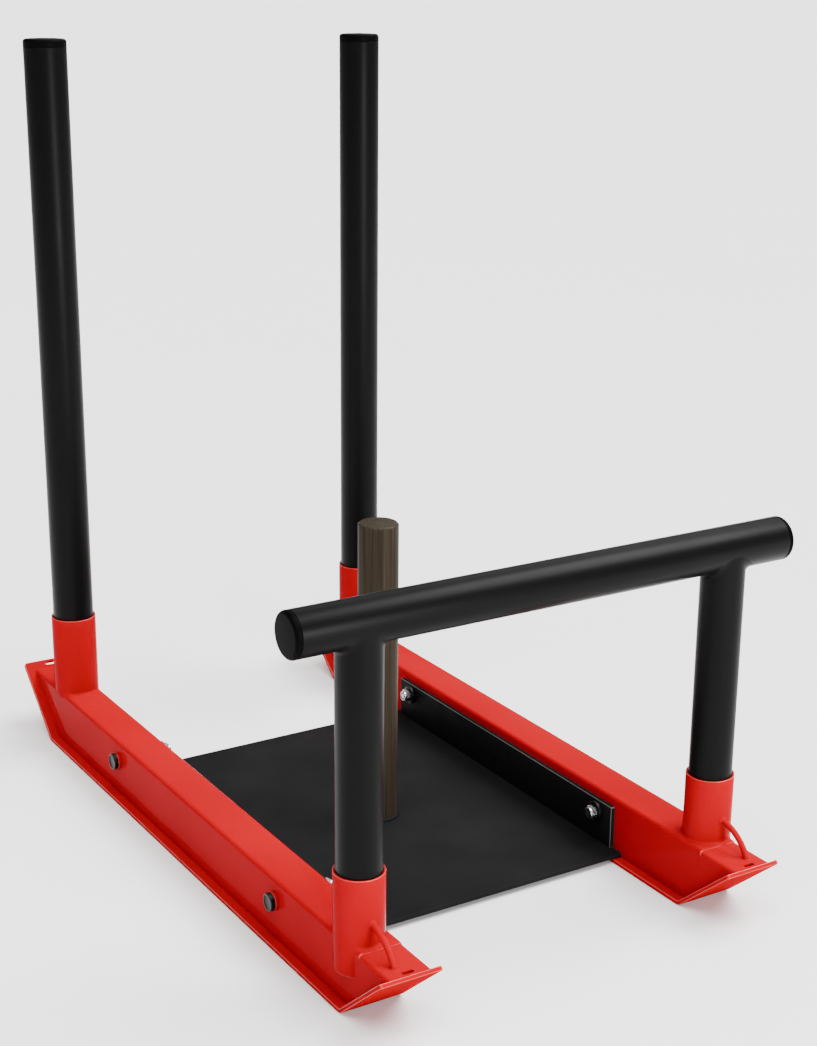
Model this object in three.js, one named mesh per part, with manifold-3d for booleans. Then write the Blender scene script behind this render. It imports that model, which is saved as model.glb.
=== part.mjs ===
// A push sled: two welded ski runners, a bolted weight tray between them with an upright post
// for plates, two tall push poles at the rear and a low handle at the front, each lifted out of
// its sockets by hand. Millimetres, +Z up, the low handle faces -Y, and the origin is on the
// ground under the middle of the sled.

import * as THREE from 'three';
import { mergeVertices } from 'three/addons/utils/BufferGeometryUtils.js';
import Module from 'manifold-3d';

const wasm = await Module();
wasm.setup();

// Clearances
const seatGap = 0.3; // between two pieces that are welded, seated or cut to one another
const overrun = 20; // how far a cutting solid runs past what it cuts

// Ski plates: flat strip turned up at both ends
const beamSpacing = 452; // between the centre lines of the two runners
const skiFlatLength = 819; // between the two bends, measured on the underside
const skiWidth = 76;
const skiThickness = 5;
const skiBendRadius = 8; // on the upper side of the strip
const skiCornerRadius = 4; // the four corners, seen from above
const turnUpAngle = THREE.MathUtils.degToRad(41);
const rearLipLength = 12; // how far the rear end runs on above the beam, along the slope
const lipSlotLength = 16;
const lipSlotWidth = 4.6;
const lipSlotInset = 6.4; // from the end of the lip to the middle of the slot

// Box beams, and the slightly lower nose boxes in front of them
const beamWidth = 52;
const beamHeight = 71.7;
const beamWall = 3;
const beamCornerRadius = 5;
const beamEndSetback = 2.5; // from the front of the front socket to the end of the beam
const noseDrop = 2; // how much lower the top of a nose box is
const noseSlotLength = 14;
const noseSlotWidth = 5.4;
const noseSlotInset = 6; // from the front edge of the top to the middle of the slot

// Sockets for the poles and the handle
const frontSocketBore = 51;
const rearSocketBore = 54.6;
const socketWall = 2.5;
const frontSocketFromBend = 11; // from the front bend back to the socket's axis
const rearSocketFromBend = 13; // from the rear bend forward to the socket's axis
const frontSocketOffset = 8; // how far the axis lies outboard of the beam's centre line
const frontSocketHeight = 78; // above the top of the beam
const frontSocketSkirt = 33; // how far the outboard side hangs down beside the beam
const rearSocketHeight = 107;
const weldBead = 2.6;

// Tow loops: a bent rod from each front socket down to the nose box
const loopRodDiameter = 7;
const loopReach = 43;
const loopHeight = 29;
const loopBulge = 6.5; // how far its middle stands out from a straight line between its ends
const loopBead = 2.2; // weld round each end

// Push poles with plastic end caps
const poleDiameter = 54;
const poleWall = 2.5;
const poleTopHeight = 945; // ground to the top of the cap
const poleCapLength = 10; // the part of a cap that stands above the tube
const poleCapRounding = 4;

// Low handle: a crossbar on two legs
const handleDiameter = 50;
const handleWall = 2.5;
const handleHeight = 426; // ground to the crossbar's axis
const crossbarLength = 633; // over both end caps
const crossbarCapLength = 7;
const crossbarCapRounding = 3.4;
const handleFillet = 7;

// Plugs on the inside of the end caps
const plugLength = 22;
const plugWall = 3;

// Weight tray
const trayFloorLength = 526;
const trayFloorThickness = 6;
const trayFloorRounding = 2.4; // along its front and rear edges
const trayFromFrontSocket = 111; // from the front sockets' axes back to the front of the floor
const traySideHeight = 54.6;
const traySideThickness = 6;
const traySideSetback = 17; // from each end of the floor to the end of a side plate
const traySideCornerRadius = 1.5;

// Weight post
const postDiameter = 50;
const postWall = 4;
const postHeight = 385.7; // above the tray floor
const postChamfer = 2;
const postForward = 16; // from the middle of the tray towards the front
const postBead = 4;

// Bolts that hold the tray's side plates to the beams
const boltDiameter = 10;
const boltHeight = 51; // ground to the bolt's axis
const boltFromSideEnd = 28; // from the end of a side plate to the bolt's axis
const boltHeadDiameter = 21.5;
const boltHeadHeight = 5;
const boltHeadRounding = 1.4;
const bossDiameter = 22;
const bossLength = 3.6;
const spacerDiameter = 25;
const spacerLength = 5;
const nutAcrossFlats = 16;
const nutHeight = 8.4;
const boltTip = 0.8; // what shows of the thread past the nut

// Facets
const tubeSides = 40;
const fastenerSides = 20;
const rodSides = 12;
const bendSteps = 5;
const cornerSteps = 2;
const loopSteps = 10;
const filletSteps = 4;
const capRoundingSteps = 3;

// Places worked out from the sizes
const beamTop = skiThickness + seatGap + beamHeight;
const noseTop = beamTop - noseDrop;
const bendLower = skiBendRadius + skiThickness;
const slopeUp = Math.sin(turnUpAngle);
const slopeOut = Math.cos(turnUpAngle);
const frontRise = noseTop;
const rearRise = beamTop + rearLipLength * slopeUp;
const frontReach = (frontRise - skiThickness * slopeOut) * slopeOut / slopeUp;
const rearReach = (rearRise - skiThickness * slopeOut) * slopeOut / slopeUp;
const sledLength = frontReach + skiFlatLength + rearReach;
const frontBendY = frontReach - sledLength / 2;
const rearBendY = frontBendY + skiFlatLength;
const frontSocketY = frontBendY + frontSocketFromBend;
const rearSocketY = rearBendY - rearSocketFromBend;
const frontSocketRadius = frontSocketBore / 2 + socketWall;
const rearSocketRadius = rearSocketBore / 2 + socketWall;
const beamFrontY = frontSocketY - frontSocketRadius - beamEndSetback;
const trayFrontY = frontSocketY + trayFromFrontSocket;
const trayMiddleY = trayFrontY + trayFloorLength / 2;
const trayInnerHalf = beamSpacing / 2 - beamWidth / 2 - seatGap;
const trayFloorBottom = skiThickness + seatGap;
const trayFloorTop = trayFloorBottom + trayFloorThickness;
const traySideLength = trayFloorLength - 2 * traySideSetback;
const boltReach = traySideLength / 2 - boltFromSideEnd;
const boltHole = boltDiameter + 2 * seatGap;

const axisX = new THREE.Vector3(1, 0, 0);
const axisY = new THREE.Vector3(0, 1, 0);
const axisZ = new THREE.Vector3(0, 0, 1);
const alongX = new THREE.Matrix4().makeBasis(axisY, axisZ, axisX);
const alongMinusY = new THREE.Matrix4().makeBasis(axisX, axisZ, axisY.clone().negate());

// Materials
const redGloss = () => new THREE.MeshStandardMaterial({
  color: 0xd81418, roughness: 0.16, metalness: 0.0,
});
const blackSatin = () => new THREE.MeshStandardMaterial({
  color: 0x1a1a19, roughness: 0.36, metalness: 0.0,
});
const blackTexture = () => new THREE.MeshStandardMaterial({
  color: 0x1e1f20, roughness: 0.6, metalness: 0.0,
});
const blackPlastic = () => new THREE.MeshStandardMaterial({
  color: 0x161616, roughness: 0.5, metalness: 0.0,
});
const bronzeSteel = () => new THREE.MeshStandardMaterial({
  color: 0x5c5545, roughness: 0.42, metalness: 0.85,
});
const blackOxide = () => new THREE.MeshStandardMaterial({
  color: 0x141414, roughness: 0.3, metalness: 0.6,
});
const zincPlate = () => new THREE.MeshStandardMaterial({
  color: 0xb9bcc0, roughness: 0.3, metalness: 1.0,
});

// Solids, joins and cuts
function solidOf(geometry) {
  const bare = geometry.clone();
  bare.deleteAttribute('normal');
  bare.deleteAttribute('uv');
  const welded = mergeVertices(bare);
  return new wasm.Manifold(new wasm.Mesh({
    numProp: 3,
    vertProperties: new Float32Array(welded.attributes.position.array),
    triVerts: new Uint32Array(welded.index.array),
  }));
}

function geometryOf(solid) {
  const { vertProperties, triVerts, numProp } = solid.getMesh();
  const points = new Float32Array(vertProperties.length / numProp * 3);
  for (let i = 0; i < points.length / 3; i += 1) {
    for (let k = 0; k < 3; k += 1) {
      points[3 * i + k] = vertProperties[numProp * i + k];
    }
  }
  const geometry = new THREE.BufferGeometry();
  geometry.setAttribute('position', new THREE.BufferAttribute(points, 3));
  geometry.setIndex(new THREE.BufferAttribute(new Uint32Array(triVerts), 1));
  geometry.computeVertexNormals();
  return geometry;
}

// A profile of [radius, height] points turned about Z. It starts and ends on the axis, or closes.
function revolve(profile, sides) {
  const points = profile.map(([radius, height]) => new THREE.Vector2(radius, height));
  if (THREE.ShapeUtils.isClockWise(points)) {
    points.reverse();
  }
  return new THREE.LatheGeometry(points, sides).rotateX(Math.PI / 2);
}

function ring(outerRadius, innerRadius, low, high, sides) {
  return revolve([
    [innerRadius, low],
    [outerRadius, low],
    [outerRadius, high],
    [innerRadius, high],
    [innerRadius, low],
  ], sides);
}

function rod(radius, low, high, sides) {
  return revolve([[0, low], [radius, low], [radius, high], [0, high]], sides);
}

// A rod along X, centred at the height and distance given.
function crossRod(radius, halfLength, y, z, sides) {
  return rod(radius, -halfLength, halfLength, sides).rotateY(Math.PI / 2).translate(0, y, z);
}

function block(lowX, highX, lowY, highY, lowZ, highZ) {
  return new THREE.BoxGeometry(highX - lowX, highY - lowY, highZ - lowZ)
    .translate((lowX + highX) / 2, (lowY + highY) / 2, (lowZ + highZ) / 2);
}

function roundedOutline(width, height, radius) {
  const shape = new THREE.Shape();
  const x = width / 2 - radius;
  const y = height / 2 - radius;
  shape.absarc(x, y, radius, 0, Math.PI / 2);
  shape.absarc(-x, y, radius, Math.PI / 2, Math.PI);
  shape.absarc(-x, -y, radius, Math.PI, 3 * Math.PI / 2);
  shape.absarc(x, -y, radius, 3 * Math.PI / 2, 2 * Math.PI);
  shape.closePath();
  return shape;
}

function roundPoints(x, y, radius, sides) {
  const points = [];
  for (let i = 0; i < sides; i += 1) {
    const turn = 2 * Math.PI * i / sides;
    points.push(new THREE.Vector2(x + radius * Math.cos(turn), y + radius * Math.sin(turn)));
  }
  return points;
}

function roundHole(x, y, radius, sides) {
  return new THREE.Path(roundPoints(x, y, radius, sides));
}

function extrude(shape, depth) {
  return new THREE.ExtrudeGeometry(shape, {
    depth, bevelEnabled: false, curveSegments: cornerSteps,
  });
}

// A side view of [y, z] points given a width across the sled, centred on X = 0.
function acrossSled(points, width) {
  const shape = new THREE.Shape(points.map(([y, z]) => new THREE.Vector2(y, z)));
  return extrude(shape, width).translate(0, 0, -width / 2).applyMatrix4(alongX);
}

// Points on one bend of a ski at a height above its underside, from the flat to the slope.
// The way out is -1 at the front bend and +1 at the rear one.
function bendPoints(bendY, wayOut, height) {
  const centreY = bendY - wayOut * bendLower * Math.tan(turnUpAngle / 2);
  const radius = bendLower - height;
  const points = [];
  for (let i = 0; i <= bendSteps; i += 1) {
    const turn = turnUpAngle * i / bendSteps;
    const y = centreY + wayOut * radius * Math.sin(turn);
    points.push([y, bendLower - radius * Math.cos(turn)]);
  }
  return points;
}

// The point where the slope, at a height above the underside, reaches a level above the ground.
function slopePoint(bendY, wayOut, height, level) {
  const run = (level - height / slopeOut) * slopeOut / slopeUp;
  return [bendY + wayOut * run, level];
}

// The point of the front slope, at a height above the underside, below a place along the sled.
function frontSlopeAt(y, height) {
  return [y, ((frontBendY - y) * slopeUp + height) / slopeOut];
}

function skiGeometry() {
  const tipLower = skiThickness * slopeOut;
  const outline = [
    slopePoint(frontBendY, -1, 0, frontRise - tipLower),
    ...bendPoints(frontBendY, -1, 0).reverse(),
    ...bendPoints(rearBendY, 1, 0),
    slopePoint(rearBendY, 1, 0, rearRise - tipLower),
    slopePoint(rearBendY, 1, skiThickness, rearRise),
    ...bendPoints(rearBendY, 1, skiThickness).reverse(),
    ...bendPoints(frontBendY, -1, skiThickness),
    slopePoint(frontBendY, -1, skiThickness, frontRise),
  ];
  const strip = solidOf(acrossSled(outline, skiWidth));
  const plan = extrude(roundedOutline(skiWidth, sledLength, skiCornerRadius), rearRise + 2 * overrun);
  const rounded = strip.intersect(solidOf(plan.translate(0, 0, -overrun)));
  const slot = extrude(roundedOutline(lipSlotLength, lipSlotWidth, lipSlotWidth / 2), 2 * overrun);
  const [lipY, lipZ] = slopePoint(rearBendY, 1, skiThickness, rearRise);
  slot.translate(0, -lipSlotInset, -overrun).rotateX(turnUpAngle).translate(0, lipY, lipZ);
  return geometryOf(rounded.subtract(solidOf(slot)));
}

// A hollow box with rounded long edges, cut to a side view.
function boxTube(width, bottom, top, lowY, highY, sideView) {
  const height = top - bottom;
  const middle = (top + bottom) / 2;
  const outer = roundedOutline(width, height, beamCornerRadius);
  const bore = roundedOutline(
    width - 2 * beamWall, height - 2 * beamWall, Math.max(beamCornerRadius - beamWall, beamWall / 2),
  );
  outer.holes.push(bore);
  const tube = extrude(outer, highY - lowY).applyMatrix4(alongMinusY).translate(0, highY, middle);
  return solidOf(tube).intersect(solidOf(acrossSled(sideView, width + overrun)));
}

function beamGeometry() {
  const seat = skiThickness + seatGap;
  const sideView = [
    frontSlopeAt(beamFrontY, seat),
    ...bendPoints(frontBendY, -1, seat).reverse(),
    ...bendPoints(rearBendY, 1, seat),
    slopePoint(rearBendY, 1, seat, beamTop),
    [beamFrontY, beamTop],
  ];
  let beam = boxTube(beamWidth, seat, beamTop, beamFrontY, rearBendY + rearReach, sideView);
  for (const y of [trayMiddleY - boltReach, trayMiddleY + boltReach]) {
    const drill = crossRod(boltHole / 2, beamWidth, y, boltHeight, fastenerSides);
    beam = beam.subtract(solidOf(drill));
  }
  return geometryOf(beam);
}

function noseGeometry() {
  const seat = skiThickness + seatGap;
  const backY = beamFrontY - seatGap;
  const [frontY] = slopePoint(frontBendY, -1, seat, noseTop);
  const sideView = [[backY, noseTop], [frontY, noseTop], frontSlopeAt(backY, seat)];
  const nose = boxTube(beamWidth, seat, noseTop, frontBendY - frontReach, backY, sideView);
  const slot = extrude(roundedOutline(noseSlotLength, noseSlotWidth, noseSlotWidth / 2), 2 * overrun);
  slot.translate(0, frontY + noseSlotInset, noseTop - overrun);
  return geometryOf(nose.subtract(solidOf(slot)));
}

// A bead of weld round the foot of a socket, where the socket stands on the beam.
function footBead(radius, axisOffset) {
  const root = radius - socketWall / 2;
  const low = beamTop + seatGap;
  const bead = revolve([
    [root, low],
    [radius + weldBead, low],
    [radius, low + weldBead],
    [root, low + weldBead],
    [root, low],
  ], tubeSides);
  const flatHalf = beamWidth / 2 - beamCornerRadius / 2;
  const span = 2 * radius;
  const onBeam = block(
    axisOffset - flatHalf, axisOffset + flatHalf, -span, span, beamTop, low + weldBead,
  );
  return solidOf(bead).intersect(solidOf(onBeam));
}

function rearSocketGeometry() {
  const low = beamTop + seatGap;
  const high = beamTop + rearSocketHeight;
  const tube = ring(rearSocketRadius, rearSocketBore / 2, low, high, tubeSides);
  return geometryOf(solidOf(tube).add(footBead(rearSocketRadius, 0)));
}

// The front socket hangs down the outboard side of the beam, which is its -X side here.
function frontSocketGeometry() {
  const low = beamTop - frontSocketSkirt;
  const high = beamTop + frontSocketHeight;
  const radius = frontSocketRadius;
  const tube = ring(radius, frontSocketBore / 2, low, high, tubeSides);
  const beamSide = frontSocketOffset - beamWidth / 2 - seatGap;
  const span = 2 * radius;
  const beamSpace = block(beamSide, span, -span, span, low - overrun, beamTop + seatGap);
  const bead = footBead(radius, frontSocketOffset);
  return geometryOf(solidOf(tube).subtract(solidOf(beamSpace)).add(bead));
}

// An arc that bulges out and up from the straight line between its two ends.
class TowLoopPath extends THREE.Curve {
  constructor(top, foot) {
    super();
    const chord = foot.clone().sub(top);
    this.along = chord.clone().normalize();
    this.outward = new THREE.Vector3().crossVectors(this.along, axisX).normalize();
    this.radius = (chord.length() ** 2 / 4 + loopBulge ** 2) / (2 * loopBulge);
    this.halfTurn = Math.asin(chord.length() / 2 / this.radius);
    const middle = top.clone().add(foot).divideScalar(2);
    this.centre = middle.addScaledVector(this.outward, loopBulge - this.radius);
  }

  getPoint(share, target = new THREE.Vector3()) {
    const turn = this.halfTurn * (2 * share - 1);
    return target.copy(this.centre)
      .addScaledVector(this.outward, this.radius * Math.cos(turn))
      .addScaledVector(this.along, this.radius * Math.sin(turn));
  }
}

// A short cone of weld at one end of the loop, pointing along it.
function loopBeadGeometry(end, inward) {
  const radius = loopRodDiameter / 2;
  const bead = revolve([
    [0, -loopRodDiameter],
    [radius + loopBead, -loopRodDiameter],
    [radius + loopBead, 0],
    [radius, loopBead],
    [0, loopBead],
  ], rodSides);
  const turn = new THREE.Quaternion().setFromUnitVectors(axisZ, inward);
  return bead.applyQuaternion(turn).translate(end.x, end.y, end.z);
}

// The rod runs from the front of the socket out and down to the nose box, in the plane of the
// socket's axis.
function towLoopGeometry(side) {
  const axisOffset = side * frontSocketOffset;
  const topY = frontSocketY - frontSocketRadius;
  const top = new THREE.Vector3(axisOffset, topY, noseTop + loopHeight);
  const foot = new THREE.Vector3(axisOffset, topY - loopReach, noseTop);
  const path = new TowLoopPath(top, foot);
  const section = new THREE.Shape(roundPoints(0, 0, loopRodDiameter / 2, rodSides));
  let loop = solidOf(new THREE.ExtrudeGeometry(section, { extrudePath: path, steps: loopSteps }));
  loop = loop.add(solidOf(loopBeadGeometry(top, axisY.clone().negate())));
  loop = loop.add(solidOf(loopBeadGeometry(foot, axisZ)));
  const seat = noseTop + seatGap;
  const nose = block(-beamWidth, beamWidth, foot.y - overrun, topY, seat - overrun, seat);
  const reach = frontSocketRadius + seatGap;
  const socket = rod(reach, seat - overrun, seat + frontSocketHeight, tubeSides);
  socket.translate(axisOffset, frontSocketY, 0);
  return geometryOf(loop.subtract(solidOf(nose)).subtract(solidOf(socket)));
}

// A tube end cap: a rounded disc as wide as the tube, with a hollow plug below it at height 0.
function capGeometry(tubeDiameter, tubeWall, length, rounding) {
  const radius = tubeDiameter / 2;
  const plugRadius = radius - tubeWall - seatGap;
  const profile = [
    [0, 0],
    [plugRadius - plugWall, 0],
    [plugRadius - plugWall, -plugLength],
    [plugRadius, -plugLength],
    [plugRadius, seatGap],
    [radius, seatGap],
  ];
  for (let i = 0; i <= capRoundingSteps; i += 1) {
    const turn = Math.PI / 2 * i / capRoundingSteps;
    profile.push([
      radius - rounding + rounding * Math.cos(turn),
      length - rounding + rounding * Math.sin(turn),
    ]);
  }
  profile.push([0, length]);
  return revolve(profile, tubeSides);
}

function poleGeometry() {
  const radius = poleDiameter / 2;
  const top = poleTopHeight - poleCapLength;
  return ring(radius, radius - poleWall, beamTop + seatGap, top, tubeSides);
}

function crossbarGeometry() {
  const radius = handleDiameter / 2;
  const half = crossbarLength / 2 - crossbarCapLength;
  return ring(radius, radius - handleWall, -half, half, tubeSides).rotateY(Math.PI / 2);
}

// The weld that sweeps from a leg into the crossbar. It is widest along the bar and dies away
// where the two tubes run into each other at the sides.
function handleFilletGeometry() {
  const radius = handleDiameter / 2;
  const rootRadius = radius - handleWall / 2;
  const positions = [];
  const index = [];
  const rimCount = filletSteps + 3;
  const underside = (rho, turn) => {
    const y = rho * Math.sin(turn);
    return handleHeight - Math.sqrt(Math.max(radius * radius - y * y, 0));
  };
  for (let i = 0; i < tubeSides; i += 1) {
    const turn = 2 * Math.PI * i / tubeSides;
    const size = handleFillet * Math.cos(turn) ** 2;
    const corner = underside(radius, turn);
    const section = [[rootRadius, corner + handleWall], [rootRadius, corner - size - handleWall]];
    for (let k = 0; k <= filletSteps; k += 1) {
      const bend = Math.PI / 2 * k / filletSteps;
      const rho = radius + size * (1 - Math.cos(bend));
      const drop = size * (1 - Math.sin(bend));
      section.push([rho, underside(Math.min(rho, radius + size), turn) - drop]);
    }
    section[section.length - 1][1] += handleWall;
    for (const [rho, z] of section) {
      positions.push(rho * Math.cos(turn), rho * Math.sin(turn), z);
    }
  }
  for (let i = 0; i < tubeSides; i += 1) {
    const next = (i + 1) % tubeSides;
    for (let k = 0; k < rimCount; k += 1) {
      const up = (k + 1) % rimCount;
      const [a, b] = [i * rimCount + k, next * rimCount + k];
      const [c, d] = [i * rimCount + up, next * rimCount + up];
      index.push(a, b, d, a, d, c);
    }
  }
  const geometry = new THREE.BufferGeometry();
  geometry.setAttribute('position', new THREE.Float32BufferAttribute(positions, 3));
  geometry.setIndex(index);
  return geometry;
}

function legGeometry() {
  const radius = handleDiameter / 2;
  const tube = ring(radius, radius - handleWall, beamTop + seatGap, handleHeight, tubeSides);
  const bar = crossRod(radius + seatGap, 2 * handleDiameter, 0, handleHeight, tubeSides);
  return geometryOf(solidOf(tube).add(solidOf(handleFilletGeometry())).subtract(solidOf(bar)));
}

function trayFloorGeometry() {
  const outline = roundedOutline(trayFloorLength, trayFloorThickness, trayFloorRounding);
  const width = 2 * trayInnerHalf;
  return extrude(outline, width).translate(0, 0, -width / 2).applyMatrix4(alongX);
}

function traySideGeometry() {
  const shape = new THREE.Shape();
  const half = traySideLength / 2;
  const round = traySideCornerRadius;
  const foot = seatGap;
  shape.moveTo(-half, foot);
  shape.lineTo(half, foot);
  shape.absarc(half - round, traySideHeight - round, round, 0, Math.PI / 2);
  shape.absarc(round - half, traySideHeight - round, round, Math.PI / 2, Math.PI);
  shape.closePath();
  for (const y of [-boltReach, boltReach]) {
    shape.holes.push(roundHole(y, boltHeight - trayFloorTop, boltHole / 2, fastenerSides));
  }
  const thickness = traySideThickness;
  return extrude(shape, thickness).translate(0, 0, -thickness).applyMatrix4(alongX);
}

function postGeometry() {
  const radius = postDiameter / 2;
  const bore = radius - postWall;
  return revolve([
    [0, postHeight - postWall],
    [bore, postHeight - postWall],
    [bore, seatGap],
    [radius + postBead, seatGap],
    [radius + postBead / 3, seatGap + postBead / 3],
    [radius, seatGap + postBead],
    [radius, postHeight - postChamfer],
    [radius - postChamfer, postHeight],
    [0, postHeight],
  ], tubeSides);
}

// Bolt parts, along +Z from the face of the beam that the boss stands on, at height 0.
// The bolt runs down through the beam and the side plate to the nut.
const clampLength = beamWidth + seatGap + traySideThickness + seatGap + spacerLength + seatGap;
const nutFace = -(clampLength + nutHeight);

function boltGeometry() {
  const under = bossLength + 2 * seatGap;
  const headTop = under + boltHeadHeight;
  const head = boltHeadDiameter / 2;
  const profile = [[0, nutFace - boltTip], [boltDiameter / 2, nutFace - boltTip]];
  profile.push([boltDiameter / 2, under], [head, under]);
  for (let i = 0; i <= capRoundingSteps; i += 1) {
    const turn = Math.PI / 2 * i / capRoundingSteps;
    profile.push([
      head - boltHeadRounding + boltHeadRounding * Math.cos(turn),
      headTop - boltHeadRounding + boltHeadRounding * Math.sin(turn),
    ]);
  }
  profile.push([0, headTop]);
  return revolve(profile, fastenerSides);
}

function bossGeometry() {
  return ring(bossDiameter / 2, boltHole / 2, seatGap, seatGap + bossLength, fastenerSides);
}

function spacerGeometry() {
  const high = seatGap + spacerLength - clampLength;
  return ring(spacerDiameter / 2, boltHole / 2, seatGap - clampLength, high, fastenerSides);
}

function nutGeometry() {
  const hexagon = new THREE.Shape(roundPoints(0, 0, nutAcrossFlats / Math.sqrt(3), 6));
  hexagon.holes.push(roundHole(0, 0, boltHole / 2, fastenerSides));
  return extrude(hexagon, nutHeight).translate(0, 0, nutFace);
}

function piece(name, geometry, material) {
  const mesh = new THREE.Mesh(geometry, material());
  mesh.name = name;
  return mesh;
}

// One runner. The side is -1 for the left one, at -X, and +1 for the right one.
function runner(label, side) {
  const group = new THREE.Group();
  group.position.x = side * beamSpacing / 2;
  group.add(piece(`ski_plate_${label}`, skiGeometry(), redGloss));
  group.add(piece(`runner_beam_${label}`, beamGeometry(), redGloss));
  group.add(piece(`nose_box_${label}`, noseGeometry(), redGloss));

  const front = piece(`front_socket_${label}`, frontSocketGeometry(), redGloss);
  front.position.set(side * frontSocketOffset, frontSocketY, 0);
  front.rotation.z = side > 0 ? Math.PI : 0;
  const rear = piece(`rear_socket_${label}`, rearSocketGeometry(), redGloss);
  rear.position.y = rearSocketY;
  const loop = piece(`tow_loop_${label}`, towLoopGeometry(side), redGloss);
  group.add(front, rear, loop);
  return group;
}

function pushPole(label, side) {
  const group = new THREE.Group();
  group.position.set(side * beamSpacing / 2, rearSocketY, 0);
  const cap = capGeometry(poleDiameter, poleWall, poleCapLength, poleCapRounding);
  const capMesh = piece(`pole_cap_${label}`, cap, blackPlastic);
  capMesh.position.z = poleTopHeight - poleCapLength;
  group.add(piece(`push_pole_${label}`, poleGeometry(), blackSatin), capMesh);
  return group;
}

function lowHandle() {
  const group = new THREE.Group();
  group.position.y = frontSocketY;
  const bar = piece('handle_crossbar', crossbarGeometry(), blackSatin);
  bar.position.z = handleHeight;
  group.add(bar);
  for (const [label, side] of [['left', -1], ['right', 1]]) {
    const leg = piece(`handle_leg_${label}`, legGeometry(), blackSatin);
    leg.position.x = side * (beamSpacing / 2 + frontSocketOffset);
    const cap = capGeometry(handleDiameter, handleWall, crossbarCapLength, crossbarCapRounding);
    const capMesh = piece(`crossbar_cap_${label}`, cap, blackPlastic);
    capMesh.position.set(side * (crossbarLength / 2 - crossbarCapLength), 0, handleHeight);
    capMesh.rotation.y = side * Math.PI / 2;
    group.add(leg, capMesh);
  }
  return group;
}

function tray() {
  const group = new THREE.Group();
  group.position.y = trayMiddleY;
  const floor = piece('tray_floor', trayFloorGeometry(), blackTexture);
  floor.position.z = trayFloorBottom + trayFloorThickness / 2;
  const post = piece('weight_post', postGeometry(), bronzeSteel);
  post.position.set(0, -postForward, trayFloorTop);
  group.add(floor, post);
  for (const [label, side] of [['left', -1], ['right', 1]]) {
    const plate = piece(`tray_side_${label}`, traySideGeometry(), blackTexture);
    plate.position.set(side * trayInnerHalf, 0, trayFloorTop);
    plate.rotation.z = side > 0 ? 0 : Math.PI;
    group.add(plate);
  }
  return group;
}

// Four bolts, each with its boss outboard and its spacer and nut inside the tray.
function bolts() {
  const group = new THREE.Group();
  for (const [label, side] of [['left', -1], ['right', 1]]) {
    for (const [end, reach] of [['front', -boltReach], ['rear', boltReach]]) {
      const set = new THREE.Group();
      const outerFace = side * (beamSpacing / 2 + beamWidth / 2);
      set.position.set(outerFace, trayMiddleY + reach, boltHeight);
      set.rotation.y = side * Math.PI / 2;
      set.add(piece(`bolt_boss_${end}_${label}`, bossGeometry(), redGloss));
      set.add(piece(`bolt_${end}_${label}`, boltGeometry(), blackOxide));
      set.add(piece(`bolt_spacer_${end}_${label}`, spacerGeometry(), blackOxide));
      set.add(piece(`bolt_nut_${end}_${label}`, nutGeometry(), zincPlate));
      group.add(set);
    }
  }
  return group;
}

const sled = new THREE.Group();
sled.add(runner('left', -1), runner('right', 1));
sled.add(pushPole('left', -1), pushPole('right', 1));
sled.add(lowHandle(), tray(), bolts());

export default sled;
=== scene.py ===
"""Looks of a push sled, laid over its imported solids.

The sled has two welded red runners, a black tray bolted between them with a bronze coloured post,
two black push poles at the rear and a low black handle at the front. Sizes here are millimetres
until a mesh is made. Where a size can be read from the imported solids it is, and the rest are
fields of the class whose piece they shape.
"""
from __future__ import annotations

import logging
import math
from dataclasses import dataclass, replace
from enum import Enum

import bmesh
import bpy
import numpy as np
from mathutils import Matrix, Vector


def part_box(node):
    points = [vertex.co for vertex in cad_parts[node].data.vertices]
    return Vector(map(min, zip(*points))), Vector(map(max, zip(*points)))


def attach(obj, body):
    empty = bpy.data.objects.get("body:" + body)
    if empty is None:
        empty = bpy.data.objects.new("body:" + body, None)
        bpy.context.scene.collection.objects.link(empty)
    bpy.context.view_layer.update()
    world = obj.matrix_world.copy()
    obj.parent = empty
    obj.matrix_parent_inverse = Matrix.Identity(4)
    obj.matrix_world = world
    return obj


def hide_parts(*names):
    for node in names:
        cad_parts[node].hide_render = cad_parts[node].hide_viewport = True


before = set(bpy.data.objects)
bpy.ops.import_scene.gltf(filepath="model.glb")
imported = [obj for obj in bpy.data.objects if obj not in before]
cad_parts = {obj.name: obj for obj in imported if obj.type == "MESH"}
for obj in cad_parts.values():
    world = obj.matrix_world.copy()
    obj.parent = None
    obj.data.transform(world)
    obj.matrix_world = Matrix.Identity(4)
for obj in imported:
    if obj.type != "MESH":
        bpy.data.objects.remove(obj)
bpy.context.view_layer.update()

LOG = logging.getLogger("push_sled")
METRE = 0.001  # a millimetre, in metres
MERGE_DISTANCE = 2e-6  # metres between two points, under which they become one
SHORTEST_EDGE = 1e-6  # metres
CRISP_ANGLE = 32.0  # degrees between two faces, past which their edge stays crisp
WELD_CRISP_ANGLE = 60.0  # the same for the welds round the sockets' feet
BEVEL_ANGLE = 50.0  # degrees between two faces, past which a cut edge is rounded
SEAT_GAP = 0.3  # between two pieces that are seated on or in one another
NOISE_SPAN = (0.3, 0.7)  # nearly all values of a noise pattern lie between these
Array = np.ndarray


class Named(Enum):
    """A choice whose name is also a word in node names."""

    @property
    def label(self) -> str:
        """The word that node names use for this choice."""
        return self.name.lower()


class Side(Named):
    """Left and right as the photograph shows them, with the sign of X on that side."""

    LEFT = -1
    RIGHT = 1


class End(Named):
    """Front and rear of the sled, with the sign of Y there."""

    FRONT = -1
    REAR = 1


def node_box(name: str) -> tuple[Array, Array]:
    """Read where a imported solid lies.

    Args:
        name: the solid's node name.

    Returns:
        Its lowest and its highest corner, in millimetres.
    """
    low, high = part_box(name)
    return np.array(low) / METRE, np.array(high) / METRE


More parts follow.
